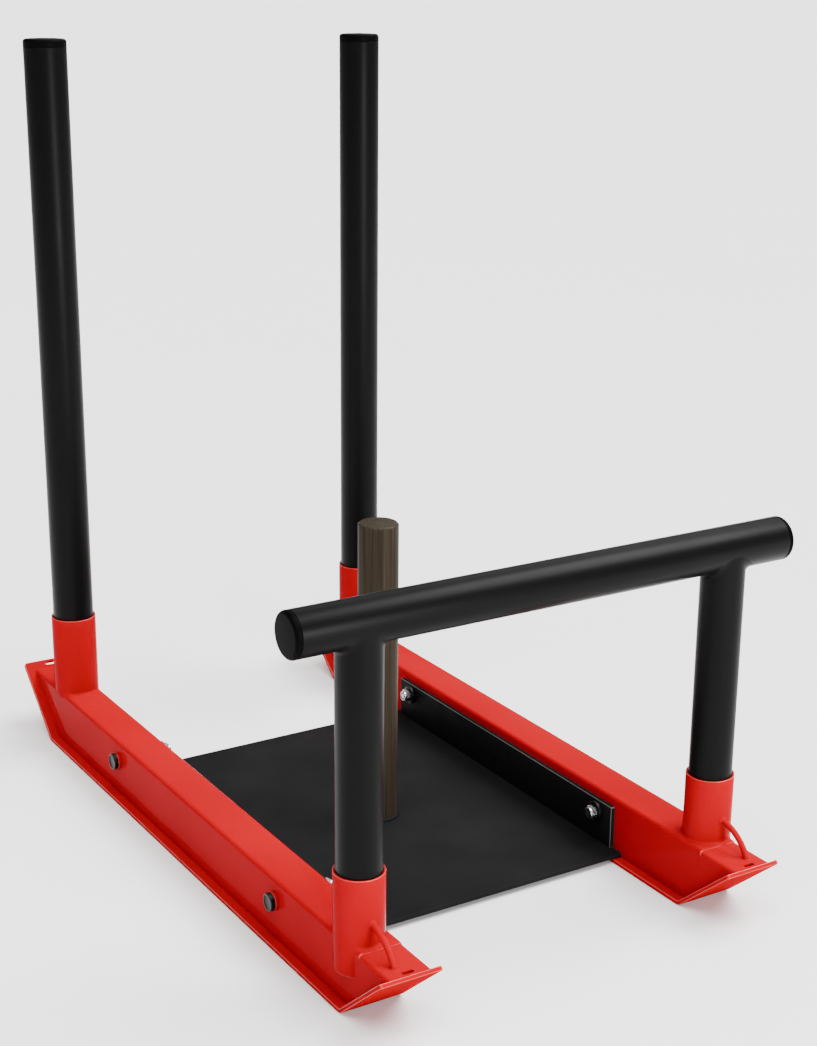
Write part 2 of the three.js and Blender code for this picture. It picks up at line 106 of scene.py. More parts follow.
def linear(hex_colour: str) -> tuple[float, float, float, float]:
    """Turn an sRGB hex colour into linear light.

    The standard's curve is a straight line v / 12.92 up to 0.04045, and ((v + 0.055) / 1.055)
    to the power 2.4 above it.

    Args:
        hex_colour: six hex digits after a hash sign.

    Returns:
        Linear red, green and blue, and an alpha of 1.
    """
    values = np.array([int(hex_colour[i:i + 2], 16) for i in (1, 3, 5)]) / 255
    light = np.where(values <= 0.04045, values / 12.92, ((values + 0.055) / 1.055) ** 2.4)
    return (*light.tolist(), 1.0)


def add_object(name: str, data: bpy.types.ID) -> bpy.types.Object:
    """Put a mesh, a lamp or a camera into the scene, and return its object."""
    made = bpy.data.objects.new(name, data)
    bpy.context.scene.collection.objects.link(made)
    return made


def add_node(tree: bpy.types.NodeTree, kind: str, inputs: dict | None = None,
             **settings: object) -> bpy.types.Node:
    """Add one node to a material.

    Args:
        tree: the material's node tree.
        kind: the node's type name.
        inputs: a value or another node's output for each named or numbered input.
        settings: the node's own properties.

    Returns:
        The new node.
    """
    node = tree.nodes.new(kind)
    for key, value in settings.items():
        setattr(node, key, value)
    for socket, value in (inputs or {}).items():
        if isinstance(value, bpy.types.NodeSocket):
            tree.links.new(value, node.inputs[socket])
        else:
            node.inputs[socket].default_value = value
    return node


def noise_scale(feature_mm: float) -> float:
    """The noise scale that gives features of a size in millimetres on metre coordinates."""
    return 1 / (feature_mm * METRE)


@dataclass(frozen=True)
class Finish:
    """One surface finish. The subclasses say how its nodes are made."""

    name: str
    slot: str
    colour: str
    shade: str
    roughness: float
    specular: float = 0.5
    # A paler copy of this finish for the narrow faces along sharp edges: a painted highlight.
    edge: Finish | None = None

    def material(self) -> bpy.types.Material:
        """Build the material once, and hand the same one out after that.

        Returns:
            The Blender material of this finish.
        """
        known = bpy.data.materials.get(self.name)
        if known:
            return known
        made = bpy.data.materials.new(self.name)
        made.use_nodes = True
        tree = made.node_tree
        tree.nodes.clear()
        shader = add_node(tree, "ShaderNodeBsdfPrincipled", {
            "Roughness": self.roughness, "Specular IOR Level": self.specular,
        })
        self.dress(tree, shader)
        add_node(tree, "ShaderNodeOutputMaterial", {"Surface": shader.outputs["BSDF"]})
        return made

    def dress(self, tree: bpy.types.NodeTree, shader: bpy.types.Node) -> None:
        """Connect this finish's own pattern to the shader."""
        raise NotImplementedError

    def noise(self, tree: bpy.types.NodeTree, feature_mm: float, detail: float,
              vector: bpy.types.NodeSocket | None = None) -> bpy.types.NodeSocket:
        """Add a noise pattern on object coordinates.

        Args:
            tree: the material's node tree.
            feature_mm: the size of the pattern's features.
            detail: how many finer layers it has.
            vector: other coordinates, if the pattern is stretched.

        Returns:
            The noise value's output.
        """
        source = vector or add_node(tree, "ShaderNodeTexCoord").outputs["Object"]
        made = add_node(tree, "ShaderNodeTexNoise", {
            "Vector": source, "Scale": noise_scale(feature_mm), "Detail": detail,
        })
        return made.outputs["Fac"]

    def blend(self, tree: bpy.types.NodeTree, factor: bpy.types.NodeSocket,
              low: float = 0.35, high: float = 0.65) -> bpy.types.NodeSocket:
        """Run from the colour to its shade as a pattern rises.

        Args:
            tree: the material's node tree.
            factor: the pattern.
            low: the pattern's value where the colour is pure.
            high: the pattern's value where the shade is pure.

        Returns:
            The colour output.
        """
        ramp = add_node(tree, "ShaderNodeValToRGB", {"Fac": factor})
        first, last = ramp.color_ramp.elements
        first.position, first.color = low, linear(self.colour)
        last.position, last.color = high, linear(self.shade)
        return ramp.outputs["Color"]

    def vary(self, tree: bpy.types.NodeTree, factor: bpy.types.NodeSocket,
             spread: float) -> bpy.types.NodeSocket:
        """Let the roughness wander by a spread to both sides of its value."""
        low, high = NOISE_SPAN
        made = add_node(tree, "ShaderNodeMapRange", {
            "Value": factor, "From Min": low, "From Max": high,
            "To Min": self.roughness - spread, "To Max": self.roughness + spread,
        })
        return made.outputs["Result"]


@dataclass(frozen=True)
class PowderCoat(Finish):
    """Polyester powder baked on steel. It flows into a skin with a faint orange peel."""

    peel_mm: float = 5.0
    peel_height_mm: float = 0.02
    grit_mm: float = 0.9
    grit_height_mm: float = 0.004
    patch_mm: float = 90.0
    spread: float = 0.02
    ior: float = 1.5

    def dress(self, tree: bpy.types.NodeTree, shader: bpy.types.Node) -> None:
        """Peel and grit lift the surface, and slow patches shift its colour and gloss."""
        patches = self.noise(tree, self.patch_mm, 2)
        peel = add_node(tree, "ShaderNodeBump", {
            "Height": self.noise(tree, self.peel_mm, 1), "Distance": self.peel_height_mm * METRE,
        })
        grit = add_node(tree, "ShaderNodeBump", {
            "Height": self.noise(tree, self.grit_mm, 2), "Distance": self.grit_height_mm * METRE,
            "Normal": peel.outputs["Normal"],
        })
        tree.links.new(self.blend(tree, patches), shader.inputs["Base Color"])
        tree.links.new(self.vary(tree, patches, self.spread), shader.inputs["Roughness"])
        tree.links.new(grit.outputs["Normal"], shader.inputs["Normal"])
        shader.inputs["IOR"].default_value = self.ior


@dataclass(frozen=True)
class MouldedPlastic(Finish):
    """Injection moulded polyethylene with a fine spark-eroded grain."""

    grain_mm: float = 0.8
    grain_height_mm: float = 0.02
    cloud_mm: float = 25.0
    spread: float = 0.05
    ior: float = 1.49

    def dress(self, tree: bpy.types.NodeTree, shader: bpy.types.Node) -> None:
        """A fine grain breaks up the gloss."""
        grain = self.noise(tree, self.grain_mm, 3)
        bump = add_node(tree, "ShaderNodeBump", {
            "Height": grain, "Distance": self.grain_height_mm * METRE,
        })
        clouds = self.noise(tree, self.cloud_mm, 2)
        tree.links.new(self.blend(tree, clouds), shader.inputs["Base Color"])
        tree.links.new(self.vary(tree, grain, self.spread), shader.inputs["Roughness"])
        tree.links.new(bump.outputs["Normal"], shader.inputs["Normal"])
        shader.inputs["IOR"].default_value = self.ior


@dataclass(frozen=True)
class DrawnSteel(Finish):
    """Steel tube with a thin bronze lacquer, its drawing marks running along the tube."""

    streak_mm: float = 1.6
    streak_length_mm: float = 160.0
    streak_height_mm: float = 0.015
    spread: float = 0.08
    metallic: float = 0.85

    def dress(self, tree: bpy.types.NodeTree, shader: bpy.types.Node) -> None:
        """The noise is stretched along Z, so that it turns into upright streaks."""
        coords = add_node(tree, "ShaderNodeTexCoord").outputs["Object"]
        stretch = add_node(tree, "ShaderNodeMapping", {
            "Vector": coords, "Scale": (1, 1, self.streak_mm / self.streak_length_mm),
        })
        streaks = self.noise(tree, self.streak_mm, 4, stretch.outputs["Vector"])
        bump = add_node(tree, "ShaderNodeBump", {
            "Height": streaks, "Distance": self.streak_height_mm * METRE,
        })
        tree.links.new(self.blend(tree, streaks, *NOISE_SPAN), shader.inputs["Base Color"])
        tree.links.new(self.vary(tree, streaks, self.spread), shader.inputs["Roughness"])
        tree.links.new(bump.outputs["Normal"], shader.inputs["Normal"])
        shader.inputs["Metallic"].default_value = self.metallic


@dataclass(frozen=True)
class PlatedSteel(Finish):
    """A steel fastener, zinc plated or chemically blackened."""

    metallic: float = 1.0
    mottle_mm: float = 2.5
    spread: float = 0.06

    def dress(self, tree: bpy.types.NodeTree, shader: bpy.types.Node) -> None:
        """Small clouds of colour and gloss, as plating baths leave them."""
        mottle = self.noise(tree, self.mottle_mm, 3)
        tree.links.new(self.blend(tree, mottle), shader.inputs["Base Color"])
        tree.links.new(self.vary(tree, mottle, self.spread), shader.inputs["Roughness"])
        shader.inputs["Metallic"].default_value = self.metallic


@dataclass(frozen=True)
class PaintedFloor(Finish):
    """A seamless studio floor, painted almost white and matt."""

    cloud_mm: float = 900.0

    def dress(self, tree: bpy.types.NodeTree, shader: bpy.types.Node) -> None:
        """Only the faintest clouds, so that the floor stays plain."""
        clouds = self.noise(tree, self.cloud_mm, 2)
        tree.links.new(self.blend(tree, clouds), shader.inputs["Base Color"])


# The classes above hold typical values of their materials. What a finish below sets for itself
# was matched to the photograph, most of all the IOR, because the paint there hardly pales at its
# edges. The two metals keep the default IOR.

# Painted highlight: a paler pink-red copy of the red powder, given to the narrow faces that round
# off sharp edges so that they show a thin glint line.
RED_GLINT_PAINT = PowderCoat("red_powder_painted_edge_glint", "red_gloss_coat", "#B9322C", "#AE2A26", 0.2,
                      specular=0.3, peel_height_mm=0.004, grit_height_mm=0.001)
# Gloss red polyester powder: a deep saturated skin whose reflections are sharp but faint.
RED_COAT = PowderCoat("gloss_red_powder_coat", "red_gloss_coat", "#9A0210", "#96020F", 0.1,
                      edge=RED_GLINT_PAINT, peel_height_mm=0.006, grit_height_mm=0.001, spread=0.01,
                      ior=1.045)
# Red powder over a weld, where no edge is sharp.
RED_WELD = replace(RED_COAT, edge=None)
# Painted shade under the skis: a slightly darker, matt copy of the red without reflection, so that
# faces looking down stay dark red.
RED_SHADED_SOLE = PowderCoat("dull_red_powder_coat", "red_gloss_coat", "#94020C", "#90020B", 0.6,
                      peel_height_mm=0.006, grit_height_mm=0.002, ior=1.01)
# Satin black powder on the tubes: soft broad highlights along the length.
BLACK_COAT = PowderCoat("satin_black_powder_coat", "black_satin_coat", "#080808", "#070707", 0.38,
                        peel_height_mm=0.012, grit_height_mm=0.005, spread=0.03, ior=1.14)
# Painted highlight: a grey copy of the tray's black powder, given to the narrow faces that round off
# its sharp edges so that they show a pale glint line.
TRAY_GLINT_PAINT = PowderCoat("black_powder_painted_edge_glint", "black_texture_coat", "#55524E", "#3F3D3A",
                       0.4, specular=0.3, spread=0.04)
# Fine-texture black powder on the tray: a dry, sandy skin that scatters the light.
TRAY_COAT = PowderCoat("fine_texture_black_powder_coat", "black_texture_coat", "#141415", "#111112",
                       0.6, specular=0.03, edge=TRAY_GLINT_PAINT, peel_mm=2.4, peel_height_mm=0.05,
                       grit_height_mm=0.02, spread=0.04)
# The tray's powder over the post's weld.
TRAY_WELD = replace(TRAY_COAT, edge=None)
# Black polyethylene end caps: a little duller than the tubes.
CAP_PLASTIC = MouldedPlastic("black_moulded_polyethylene", "black_plastic", "#060606", "#050505",
                             0.42, ior=1.06)
# Bronze lacquered steel post: brown-grey metal with upright drawing marks.
BRONZE_STEEL = DrawnSteel("bronze_lacquered_drawn_steel", "bronze_steel", "#373027", "#221C15",
                          0.5, specular=0.03, metallic=0.28)
# Blackened steel fasteners: nearly black, with only a faint shine.
BLACK_OXIDE = PlatedSteel("black_oxide_steel", "black_oxide_steel", "#0B0B0B", "#0E0E0E", 0.4,
                          specular=0.0, metallic=0.08)
# Zinc plated nuts: bright, slightly blue and only faintly cloudy.
ZINC = PlatedSteel("bright_zinc_plated_steel", "zinc_plate", "#C4C6C9", "#B4B6BA", 0.24)
# Matt white studio paint under the sled.
FLOOR_PAINT = PaintedFloor("matt_white_studio_paint", "", "#F2F2F2", "#F1F1F1", 0.8, specular=0.1)


@dataclass
class Shell:
    """A closed surface: points in millimetres, and faces that index them."""

    points: Array
    faces: list[tuple[int, ...]]

    @classmethod
    def loft(cls, rings: Array, wrap: bool = False) -> Shell:
        """Join closed rings of points into one skin.

        Args:
            rings: an array of stations, points around each, and X, Y, Z.
            wrap: join the last ring to the first, instead of closing both ends.

        Returns:
            The skin, with a flat face over each end unless it wraps.
        """
        stations, around = rings.shape[:2]
        rows = np.arange(stations if wrap else stations - 1)
        row, column = np.meshgrid(rows, np.arange(around), indexing="ij")
        next_row = (row + 1) % stations
        next_column = (column + 1) % around
        corners = (row * around + column, row * around + next_column,
                   next_row * around + next_column, next_row * around + column)
        faces = [tuple(face) for face in np.stack(corners, -1).reshape(-1, 4).tolist()]
        if not wrap:
            faces.append(tuple(range(around))[::-1])
            faces.append(tuple(range((stations - 1) * around, stations * around)))
        return cls(rings.reshape(-1, 3).astype(float), faces)

    @classmethod
    def revolve(cls, profile: Array, segments: int = 96) -> Shell:
        """Turn a profile about Z.

        Each ring is the circle of one profile point: x = r cos a, y = r sin a, z = h.

        Args:
            profile: radius and height of each point. It starts and ends on the axis, or closes.
            segments: how many points each circle has.

        Returns:
            The turned skin.
        """
        profile = np.asarray(profile, float)
        wrap = bool(np.allclose(profile[0], profile[-1]))
        if wrap:
            profile = profile[:-1]
        angle = np.linspace(0, 2 * np.pi, segments, endpoint=False)
        radius, height = profile[:, :1], profile[:, 1:]
        rings = np.stack(np.broadcast_arrays(
            radius * np.cos(angle), radius * np.sin(angle), height + 0 * angle), -1)
        return cls.loft(rings, wrap)

    def moved(self, x: float = 0, y: float = 0, z: float = 0) -> Shell:
        """Shift the shell by an offset."""
        return Shell(self.points + np.array([x, y, z], float), self.faces)

    def turned(self, axis: str, degrees: float) -> Shell:
        """Turn the shell about one of the main axes."""
        matrix = np.array(Matrix.Rotation(math.radians(degrees), 3, axis))
        return Shell(self.points @ matrix.T, self.faces)

    def joined(self, *others: Shell) -> Shell:
        """Put other shells beside this one in the same mesh."""
        points = [self.points]
        faces = list(self.faces)
        count = len(self.points)
        for other in others:
            points.append(other.points)
            faces += [tuple(index + count for index in face) for face in other.faces]
            count += len(other.points)
        return Shell(np.concatenate(points), faces)

    def mesh(self, name: str, sharp: float = CRISP_ANGLE) -> bpy.types.Mesh:
        """Make a clean Blender mesh, smooth but for edges sharper than an angle.

        Args:
            name: the mesh's name.
            sharp: the angle between faces, in degrees, past which an edge stays crisp.

        Returns:
            The mesh, in metres, with doubles merged and faces out.
        """
        made = bpy.data.meshes.new(name)
        made.from_pydata((self.points * METRE).tolist(), [], self.faces)
        return tidy_mesh(made, sharp)


def tidy_mesh(made: bpy.types.Mesh, sharp: float) -> bpy.types.Mesh:
    """Merge doubles, turn faces out and mark crisp edges.

    Args:
        made: the mesh to tidy.
        sharp: the angle past which an edge stays crisp, in degrees.

    Returns:
        The same mesh.
    """
    work = bmesh.new()
    work.from_mesh(made)
    bmesh.ops.remove_doubles(work, verts=work.verts, dist=MERGE_DISTANCE)
    bmesh.ops.dissolve_degenerate(work, edges=work.edges, dist=SHORTEST_EDGE)
    bmesh.ops.recalc_face_normals(work, faces=work.faces)
    work.to_mesh(made)
    work.free()
    made.polygons.foreach_set("use_smooth", np.ones(len(made.polygons), bool))
    made.set_sharp_from_angle(angle=math.radians(sharp))
    return made


def carve(target: Shell, cutter: Shell, name: str, bevel_mm: float = 0.0) -> bpy.types.Mesh:
    """Cut a shell out of another.

    Args:
        target: the shell that is cut.
        cutter: the shell that is taken away.
        name: the mesh's name.
        bevel_mm: the width of a small round given to the sharp edges, or zero.

    Returns:
        The cut mesh.
    """
    body = add_object(name, target.mesh(name))
    blade = add_object(name + "_blade", cutter.mesh(name + "_blade"))
    cut = body.modifiers.new("cut", "BOOLEAN")
    cut.operation = "DIFFERENCE"
    cut.solver = "EXACT"
    cut.object = blade
    if bevel_mm:
        bevel = body.modifiers.new("soften", "BEVEL")
        bevel.width = bevel_mm * METRE
        bevel.segments = 2
        bevel.limit_method = "ANGLE"
        bevel.angle_limit = math.radians(BEVEL_ANGLE)
    bpy.context.view_layer.update()
    seen = body.evaluated_get(bpy.context.evaluated_depsgraph_get())
    made = bpy.data.meshes.new_from_object(seen)
    for helper in (body, blade):
        old = helper.data
        bpy.data.objects.remove(helper)
        bpy.data.meshes.remove(old)
    made.name = name
    return tidy_mesh(made, CRISP_ANGLE)


def mesh_array(items: bpy.types.bpy_prop_collection, attribute: str, width: int = 1,
               kind: type = float) -> Array:
    """Read one attribute of all of a mesh's points, edges, corners or faces.

    Args:
        items: the mesh's own list of them.
        attribute: the attribute's name.
        width: how many numbers it has for each.
        kind: the type of its numbers.

    Returns:
        A row for each, or a single number for each if the width is 1.
    """
    values = np.empty(len(items) * width, kind)
    items.foreach_get(attribute, values)
    return values.reshape(-1, width) if width > 1 else values


def paint_edge_glints(mesh: bpy.types.Mesh, width_mm: float = 0.45,
                 square_limit: float = 0.999) -> None:
    """Paint a highlight on a mesh's sharp edges by giving its paler second material to the narrow
    faces that round them off.

    A face's width is its area over its longest side. A face square to a main axis is part of a
    flat side, so it keeps the first material however narrow it is.

    Args:
        mesh: the mesh, with both materials in place.
        width_mm: the width under which a face counts as part of an edge.
        square_limit: the part of its normal along a main axis past which a face is square to it.
    """
    points = mesh_array(mesh.vertices, "co", 3)
    ends = mesh_array(mesh.edges, "vertices", 2, np.int32)
    start, stop = points[ends].transpose(1, 0, 2)
    length = np.linalg.norm(stop - start, axis=1)
    side = mesh_array(mesh.loops, "edge_index", kind=np.int32)
    first = mesh_array(mesh.polygons, "loop_start", kind=np.int32)
    longest = np.maximum.reduceat(length[side], first)
    square = np.abs(mesh_array(mesh.polygons, "normal", 3)).max(axis=1) > square_limit
    narrow = (mesh_array(mesh.polygons, "area") < longest * width_mm * METRE) & ~square
    # The narrow faces take the paler material: a painted highlight along the edges.
    mesh.polygons.foreach_set("material_index", narrow.astype(np.int32))


def shade_underside(mesh: bpy.types.Mesh, finish: Finish, facing_limit: float = -0.5) -> None:
    """Paint shade on the faces that look down by giving them another, darker finish.

    Args:
        mesh: the mesh, with its other materials in place.
        finish: the finish of its underside.
        facing_limit: the Z of a face's normal below which it counts as looking down.
    """
    mesh.materials.append(finish.material())
    facing_down = mesh_array(mesh.polygons, "normal", 3)[:, 2] < facing_limit
    index = mesh_array(mesh.polygons, "material_index", kind=np.int32)
    index[facing_down] = len(mesh.materials) - 1
    mesh.polygons.foreach_set("material_index", index)


def place(name: str, mesh: bpy.types.Mesh | Shell, finish: Finish, body: str,
          *replaced: str, sharp: float = CRISP_ANGLE) -> None:
    """Add one finished piece to the scene, at the origin with its place in its mesh.

    Args:
        name: the piece's name.
        mesh: its mesh, or a shell that is made into one.
        finish: its surface finish.
        body: the moving body that carries it.
        replaced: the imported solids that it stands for.
        sharp: the angle past which an edge of a shell stays crisp, in degrees.
    """
    if isinstance(mesh, Shell):
        mesh = mesh.mesh(name, sharp)
    piece = add_object(name, mesh)
    mesh.materials.clear()
    mesh.materials.append(finish.material())
    # The narrow faces along sharp edges get the paler copy: a painted highlight.
    if finish.edge:
        mesh.materials.append(finish.edge.material())
        paint_edge_glints(mesh)
    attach(piece, body)
    if replaced:
        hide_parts(*replaced)
    LOG.info("%s: %d faces on %s", name, len(mesh.polygons), body)


def arc(start: float, stop: float, count: int) -> Array:
    """Angles from start to stop in degrees, as radians."""
    return np.radians(np.linspace(start, stop, count))


def rounded_loop(half_width: float, half_height: float, radius: float,
                 corner_points: int = 7) -> Array:
    """Outline of a rectangle with round corners.

    Each corner is a quarter circle about a centre that is set in by the radius.

    Args:
        half_width: half the size along the first axis.
        half_height: half the size along the second axis.
        radius: the corner radius.
        corner_points: the points on each quarter circle.

    Returns:
        The points, counter-clockwise from the right side.
    """
    turn = np.arange(4)[:, None] * np.pi / 2 + np.linspace(0, np.pi / 2, corner_points)
    sign_x = np.array([1, -1, -1, 1])[:, None]
    sign_y = np.array([1, 1, -1, -1])[:, None]
    x = sign_x * (half_width - radius) + radius * np.cos(turn)
    y = sign_y * (half_height - radius) + radius * np.sin(turn)
    return np.stack([x.ravel(), y.ravel()], -1)


def soft_ends(depth: float, radius: float, count: int = 4) -> tuple[Array, Array]:
    """Stations along a thickness whose outline is drawn in at both ends by a small round.

    The inset at a distance d from an end is radius - sqrt(radius^2 - (radius - d)^2).

    Args:
        depth: the whole thickness.
        radius: the round's radius.
        count: the stations on each round.

    Returns:
        The stations from zero to the depth, and the inset at each.
    """
    turn = np.linspace(0, np.pi / 2, count)
    near = radius * (1 - np.cos(turn))
    inset = radius * (1 - np.sin(turn))
    return np.concatenate([near, depth - near[::-1]]), np.concatenate([inset, inset[::-1]])


def soft_slab(half_length: float, half_height: float, corner: float, thickness: float,
              edge: float) -> Shell:
    """A flat plate with round corners and softened edges.

    Args:
        half_length: half the size along Y.
        half_height: half the size along Z.
        corner: the radius of the corners in the YZ plane.
        thickness: the size along X, from zero up.
        edge: the radius of the edges.

    Returns:
        The plate, centred on Y and Z.
    """
    stations, inset = soft_ends(thickness, edge)
    loops = np.stack([rounded_loop(half_length - step, half_height - step,
                                   max(corner - step, edge / 4)) for step in inset])
    x = np.broadcast_to(stations[:, None], loops.shape[:2])
    return Shell.loft(np.stack([x, loops[..., 0], loops[..., 1]], -1))


def sweep(path: Array, across: Array, radius: Array, points: int = 16) -> Shell:
    """Carry a circle along a path.

    The ring at each station is p + r (cos a u + sin a v), where v is the fixed direction across
    the path and u is square to both v and the path.

    Args:
        path: the centre line.
        across: one direction that is square to the whole path, or one for each station.
        radius: the circle's radius at each station.
        points: the points on each circle.

    Returns:
        The swept tube with closed ends.
    """
    along = np.gradient(path, axis=0)
    along /= np.linalg.norm(along, axis=1, keepdims=True)
    side = np.broadcast_to(np.asarray(across, float), path.shape)
    up = np.cross(along, side)
    up /= np.linalg.norm(up, axis=1, keepdims=True)
    side = np.cross(up, along)
    angle = np.linspace(0, 2 * np.pi, points, endpoint=False)[None, :, None]
    radius = np.broadcast_to(np.asarray(radius, float), (len(path),))[:, None, None]
    rings = path[:, None] + radius * (np.cos(angle) * up[:, None] + np.sin(angle) * side[:, None])
    return Shell.loft(rings)


def weld_bead(path: Array, across: Array, radius: float, seed: int,
              pitch: float = 3.2) -> Shell:
    """A painted weld: a thin bead whose width ripples as the torch moved.

    Its radius is r (1 + 0.07 sin(2 pi s / pitch) + 0.04 wander), where the wander is drawn at a
    few knots. It thins out over its own width at both ends.

    Args:
        path: the corner line that the weld fills.
        across: a direction square to the path.
        radius: the bead's radius.
        seed: which wander the bead has.
        pitch: the distance between ripples.

    Returns:
        The bead.
    """
    knots = 12
    steps = np.linalg.norm(np.diff(path, axis=0), axis=1)
    run = np.concatenate([[0], np.cumsum(steps)])
    wander = np.random.default_rng(seed).normal(0, 1, knots)
    slow = np.interp(run, np.linspace(0, run[-1], knots), wander)
    taper = np.clip(np.minimum(run, run[-1] - run) / (2 * radius), 0, 1)
    size = radius * (1 + 0.07 * np.sin(2 * np.pi * run / pitch) + 0.04 * slow)
    return sweep(path, across, size * np.sqrt(np.clip(taper, 0.02, 1)), 12)


def tube_profile(outer: float, inner: float, low: float, high: float, lip: float) -> Array:
    """Closed profile of a tube wall whose rims have small rounds.

    Args:
        outer: the outer radius.
        inner: the inner radius.
        low: the lower rim's height.
        high: the upper rim's height.
        lip: the radius of the rounds.

    Returns:
        Radius and height of each point, the last the same as the first.
    """
    quarter = arc(0, 90, 4)
    cos, sin = lip * np.cos(quarter), lip * np.sin(quarter)
    corners = [
        np.stack([outer - lip + cos, high - lip + sin], -1),
        np.stack([inner + lip - sin, high - lip + cos], -1),
        np.stack([inner + lip - cos, low + lip - sin], -1),
        np.stack([outer - lip + sin, low + lip - cos], -1),
    ]
    loop = np.concatenate(corners)
    return np.concatenate([loop, loop[:1]])


@dataclass
class Slope:
    """The turned-up end of a ski, as a side view."""

    bend_y: float
    way_out: int
    angle: float

    def reach(self, level: Array | float, height: float) -> Array | float:
        """Where the slope, at a height above its underside, comes to a level above the ground.

        Args:
            level: the level or levels.
            height: the distance from the plate's underside, square to it.

        Returns:
            The place along Y.
        """
        run = (level - height / math.cos(self.angle)) / math.tan(self.angle)
        return self.bend_y + self.way_out * run

    @property
    def along(self) -> Array:
        """The direction outwards and up the slope."""
        return np.array([0, self.way_out * math.cos(self.angle), math.sin(self.angle)])


@dataclass
class Runner:
    """One welded runner: ski, box beam with its nose, both sockets and the tow loop."""

    side: Side
    turn_up: float = math.radians(41)
    thickness: float = 5.0
    bend_radius: float = 8.0
    tip_corner: float = 4.0
    plate_edge: float = 0.9
    top_corner: float = 5.0
    sole_corner: float = 0.05
    sink: float = 0.05
    nose_slot: tuple[float, float] = (14.0, 5.4)
    nose_slot_inset: float = 6.0
    nose_slot_cut: float = 16.0
    lip_slot: tuple[float, float] = (16.0, 4.6)
    lip_slot_inset: float = 6.4
    lip_slot_cut: float = 15.0
    socket_wall: float = 2.5
    socket_lip: float = 0.7
    saddle_round: float = 0.5
    foot_weld: float = 3.2
    foot_weld_past_degrees: float = 2.0
    loop_radius: float = 3.5
    loop_bulge: float = 6.5
    loop_height: float = 29.0
    loop_weld: float = 2.2
    loop_run_in: float = 1.9
    seam_weld: float = 1.0

    def __post_init__(self) -> None:
        """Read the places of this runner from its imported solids."""
        label = self.side.label
        self.ski_low, self.ski_high = node_box(f"ski_plate_{label}")
        self.beam_low, self.beam_high = node_box(f"runner_beam_{label}")
        _, self.nose_high = node_box(f"nose_box_{label}")
        self.centre = (self.beam_low[0] + self.beam_high[0]) / 2
        tip_rise = self.nose_high[2] - self.thickness * math.cos(self.turn_up)
        lip_rise = self.ski_high[2] - self.thickness * math.cos(self.turn_up)
        self.front = Slope(self.ski_low[1] + tip_rise / math.tan(self.turn_up), -1, self.turn_up)
        self.rear = Slope(self.ski_high[1] - lip_rise / math.tan(self.turn_up), 1, self.turn_up)
        front_low, front_high = node_box(f"front_socket_{label}")
        leg_low, leg_high = node_box(f"handle_leg_{label}")
        self.front_axis = (leg_low[:2] + leg_high[:2]) / 2
        outboard = front_low[0] if self.side is Side.LEFT else front_high[0]
        self.front_radius = abs(outboard - self.front_axis[0])
        self.front_levels = (front_low[2], front_high[2])
        rear_low, rear_high = node_box(f"rear_socket_{label}")
        self.rear_axis = (rear_low[:2] + rear_high[:2]) / 2
        self.rear_radius = (rear_high[0] - rear_low[0]) / 2
        self.rear_levels = (rear_low[2], rear_high[2])
        self.half_width = (self.beam_high[0] - self.beam_low[0]) / 2
        self.riser_y, self.riser_level = self.riser()

    def riser(self) -> tuple[Array, Array]:
        """The small step from the nose's top up to the beam's.

        A short toe leaves the nose, and a quarter circle rounds over onto the beam.

        Returns:
            Places along Y, and the level of the top at each.
        """
        nose_top = self.nose_high[2]
        drop = self.beam_high[2] - nose_top
        foot = drop / 4
        crest = drop - foot
        turn = arc(0, 90, 6)[1:]
        back = np.concatenate([[-foot, -foot * 0.2, 0], crest * (1 - np.cos(turn))])
        rise = np.concatenate([[0, foot * 0.3, foot], foot + crest * np.sin(turn)])
        return self.beam_low[1] + back, nose_top + rise

    def strip_path(self) -> tuple[Array, Array, Array]:
        """The ski's side view as one line.

        Straight slope, arc, flat, arc and straight slope, walked along the underside.

        Returns:
            Places in Y and Z, unit normals towards the upper side, and the run along the line.
        """
        outer = self.bend_radius + self.thickness
        cut = outer * math.tan(self.turn_up / 2)
        turn = np.linspace(0, self.turn_up, 9)
        pieces = []
        normals = []
        for slope in (self.front, self.rear):
            centre_y = slope.bend_y - slope.way_out * cut
            y = centre_y + slope.way_out * outer * np.sin(turn)
            z = outer * (1 - np.cos(turn))
            rise = self.nose_high[2] if slope is self.front else self.ski_high[2]
            top = rise - self.thickness * math.cos(self.turn_up)
            length = top / math.sin(self.turn_up) - cut
            fade = self.end_stations(length)
            y_slope = y[-1] + slope.way_out * fade * math.cos(self.turn_up)
            z_slope = z[-1] + fade * math.sin(self.turn_up)
            line = np.stack([np.concatenate([y, y_slope]), np.concatenate([z, z_slope])], -1)
            lean = np.concatenate([turn, np.full(len(fade), self.turn_up)])
            normal = np.stack([-slope.way_out * np.sin(lean), np.cos(lean)], -1)
            pieces.append(line)
            normals.append(normal)
        line = np.concatenate([pieces[0][::-1], pieces[1]])
        normal = np.concatenate([normals[0][::-1], normals[1]])
        steps = np.linalg.norm(np.diff(line, axis=0), axis=1)
        return line, normal, np.concatenate([[0], np.cumsum(steps)])

    def end_stations(self, length: float) -> Array:
        """Runs up a slope, close together where the corners and the end edge are rounded."""
        corner = self.tip_corner * (1 - np.cos(np.linspace(0, np.pi / 2, 10)))
        edge = self.plate_edge * (1 - np.cos(np.linspace(0, np.pi / 2, 4)))
        inward = np.unique(np.concatenate([corner, edge, [length * 0.5]]))
        return (length - inward)[::-1]

    def ski_shell(self) -> Shell:
        """The ski as one folded strip.

        At a distance d from an end, the half width is w - R + sqrt(R^2 - (R - d)^2) for the
        corner radius R, and the thickness is drawn in by the same formula with the edge radius.

        Returns:
            The strip, with its round corners and softened edges.
        """
        line, normal, run = self.strip_path()
        from_end = np.minimum(run, run[-1] - run)

        def drawn_in(radius: float) -> Array:
            """How far a round of this radius draws the strip in, at each station."""
            near = np.clip(radius - from_end, 0, radius)
            return radius - np.sqrt(np.clip(radius ** 2 - near ** 2, 0, None))

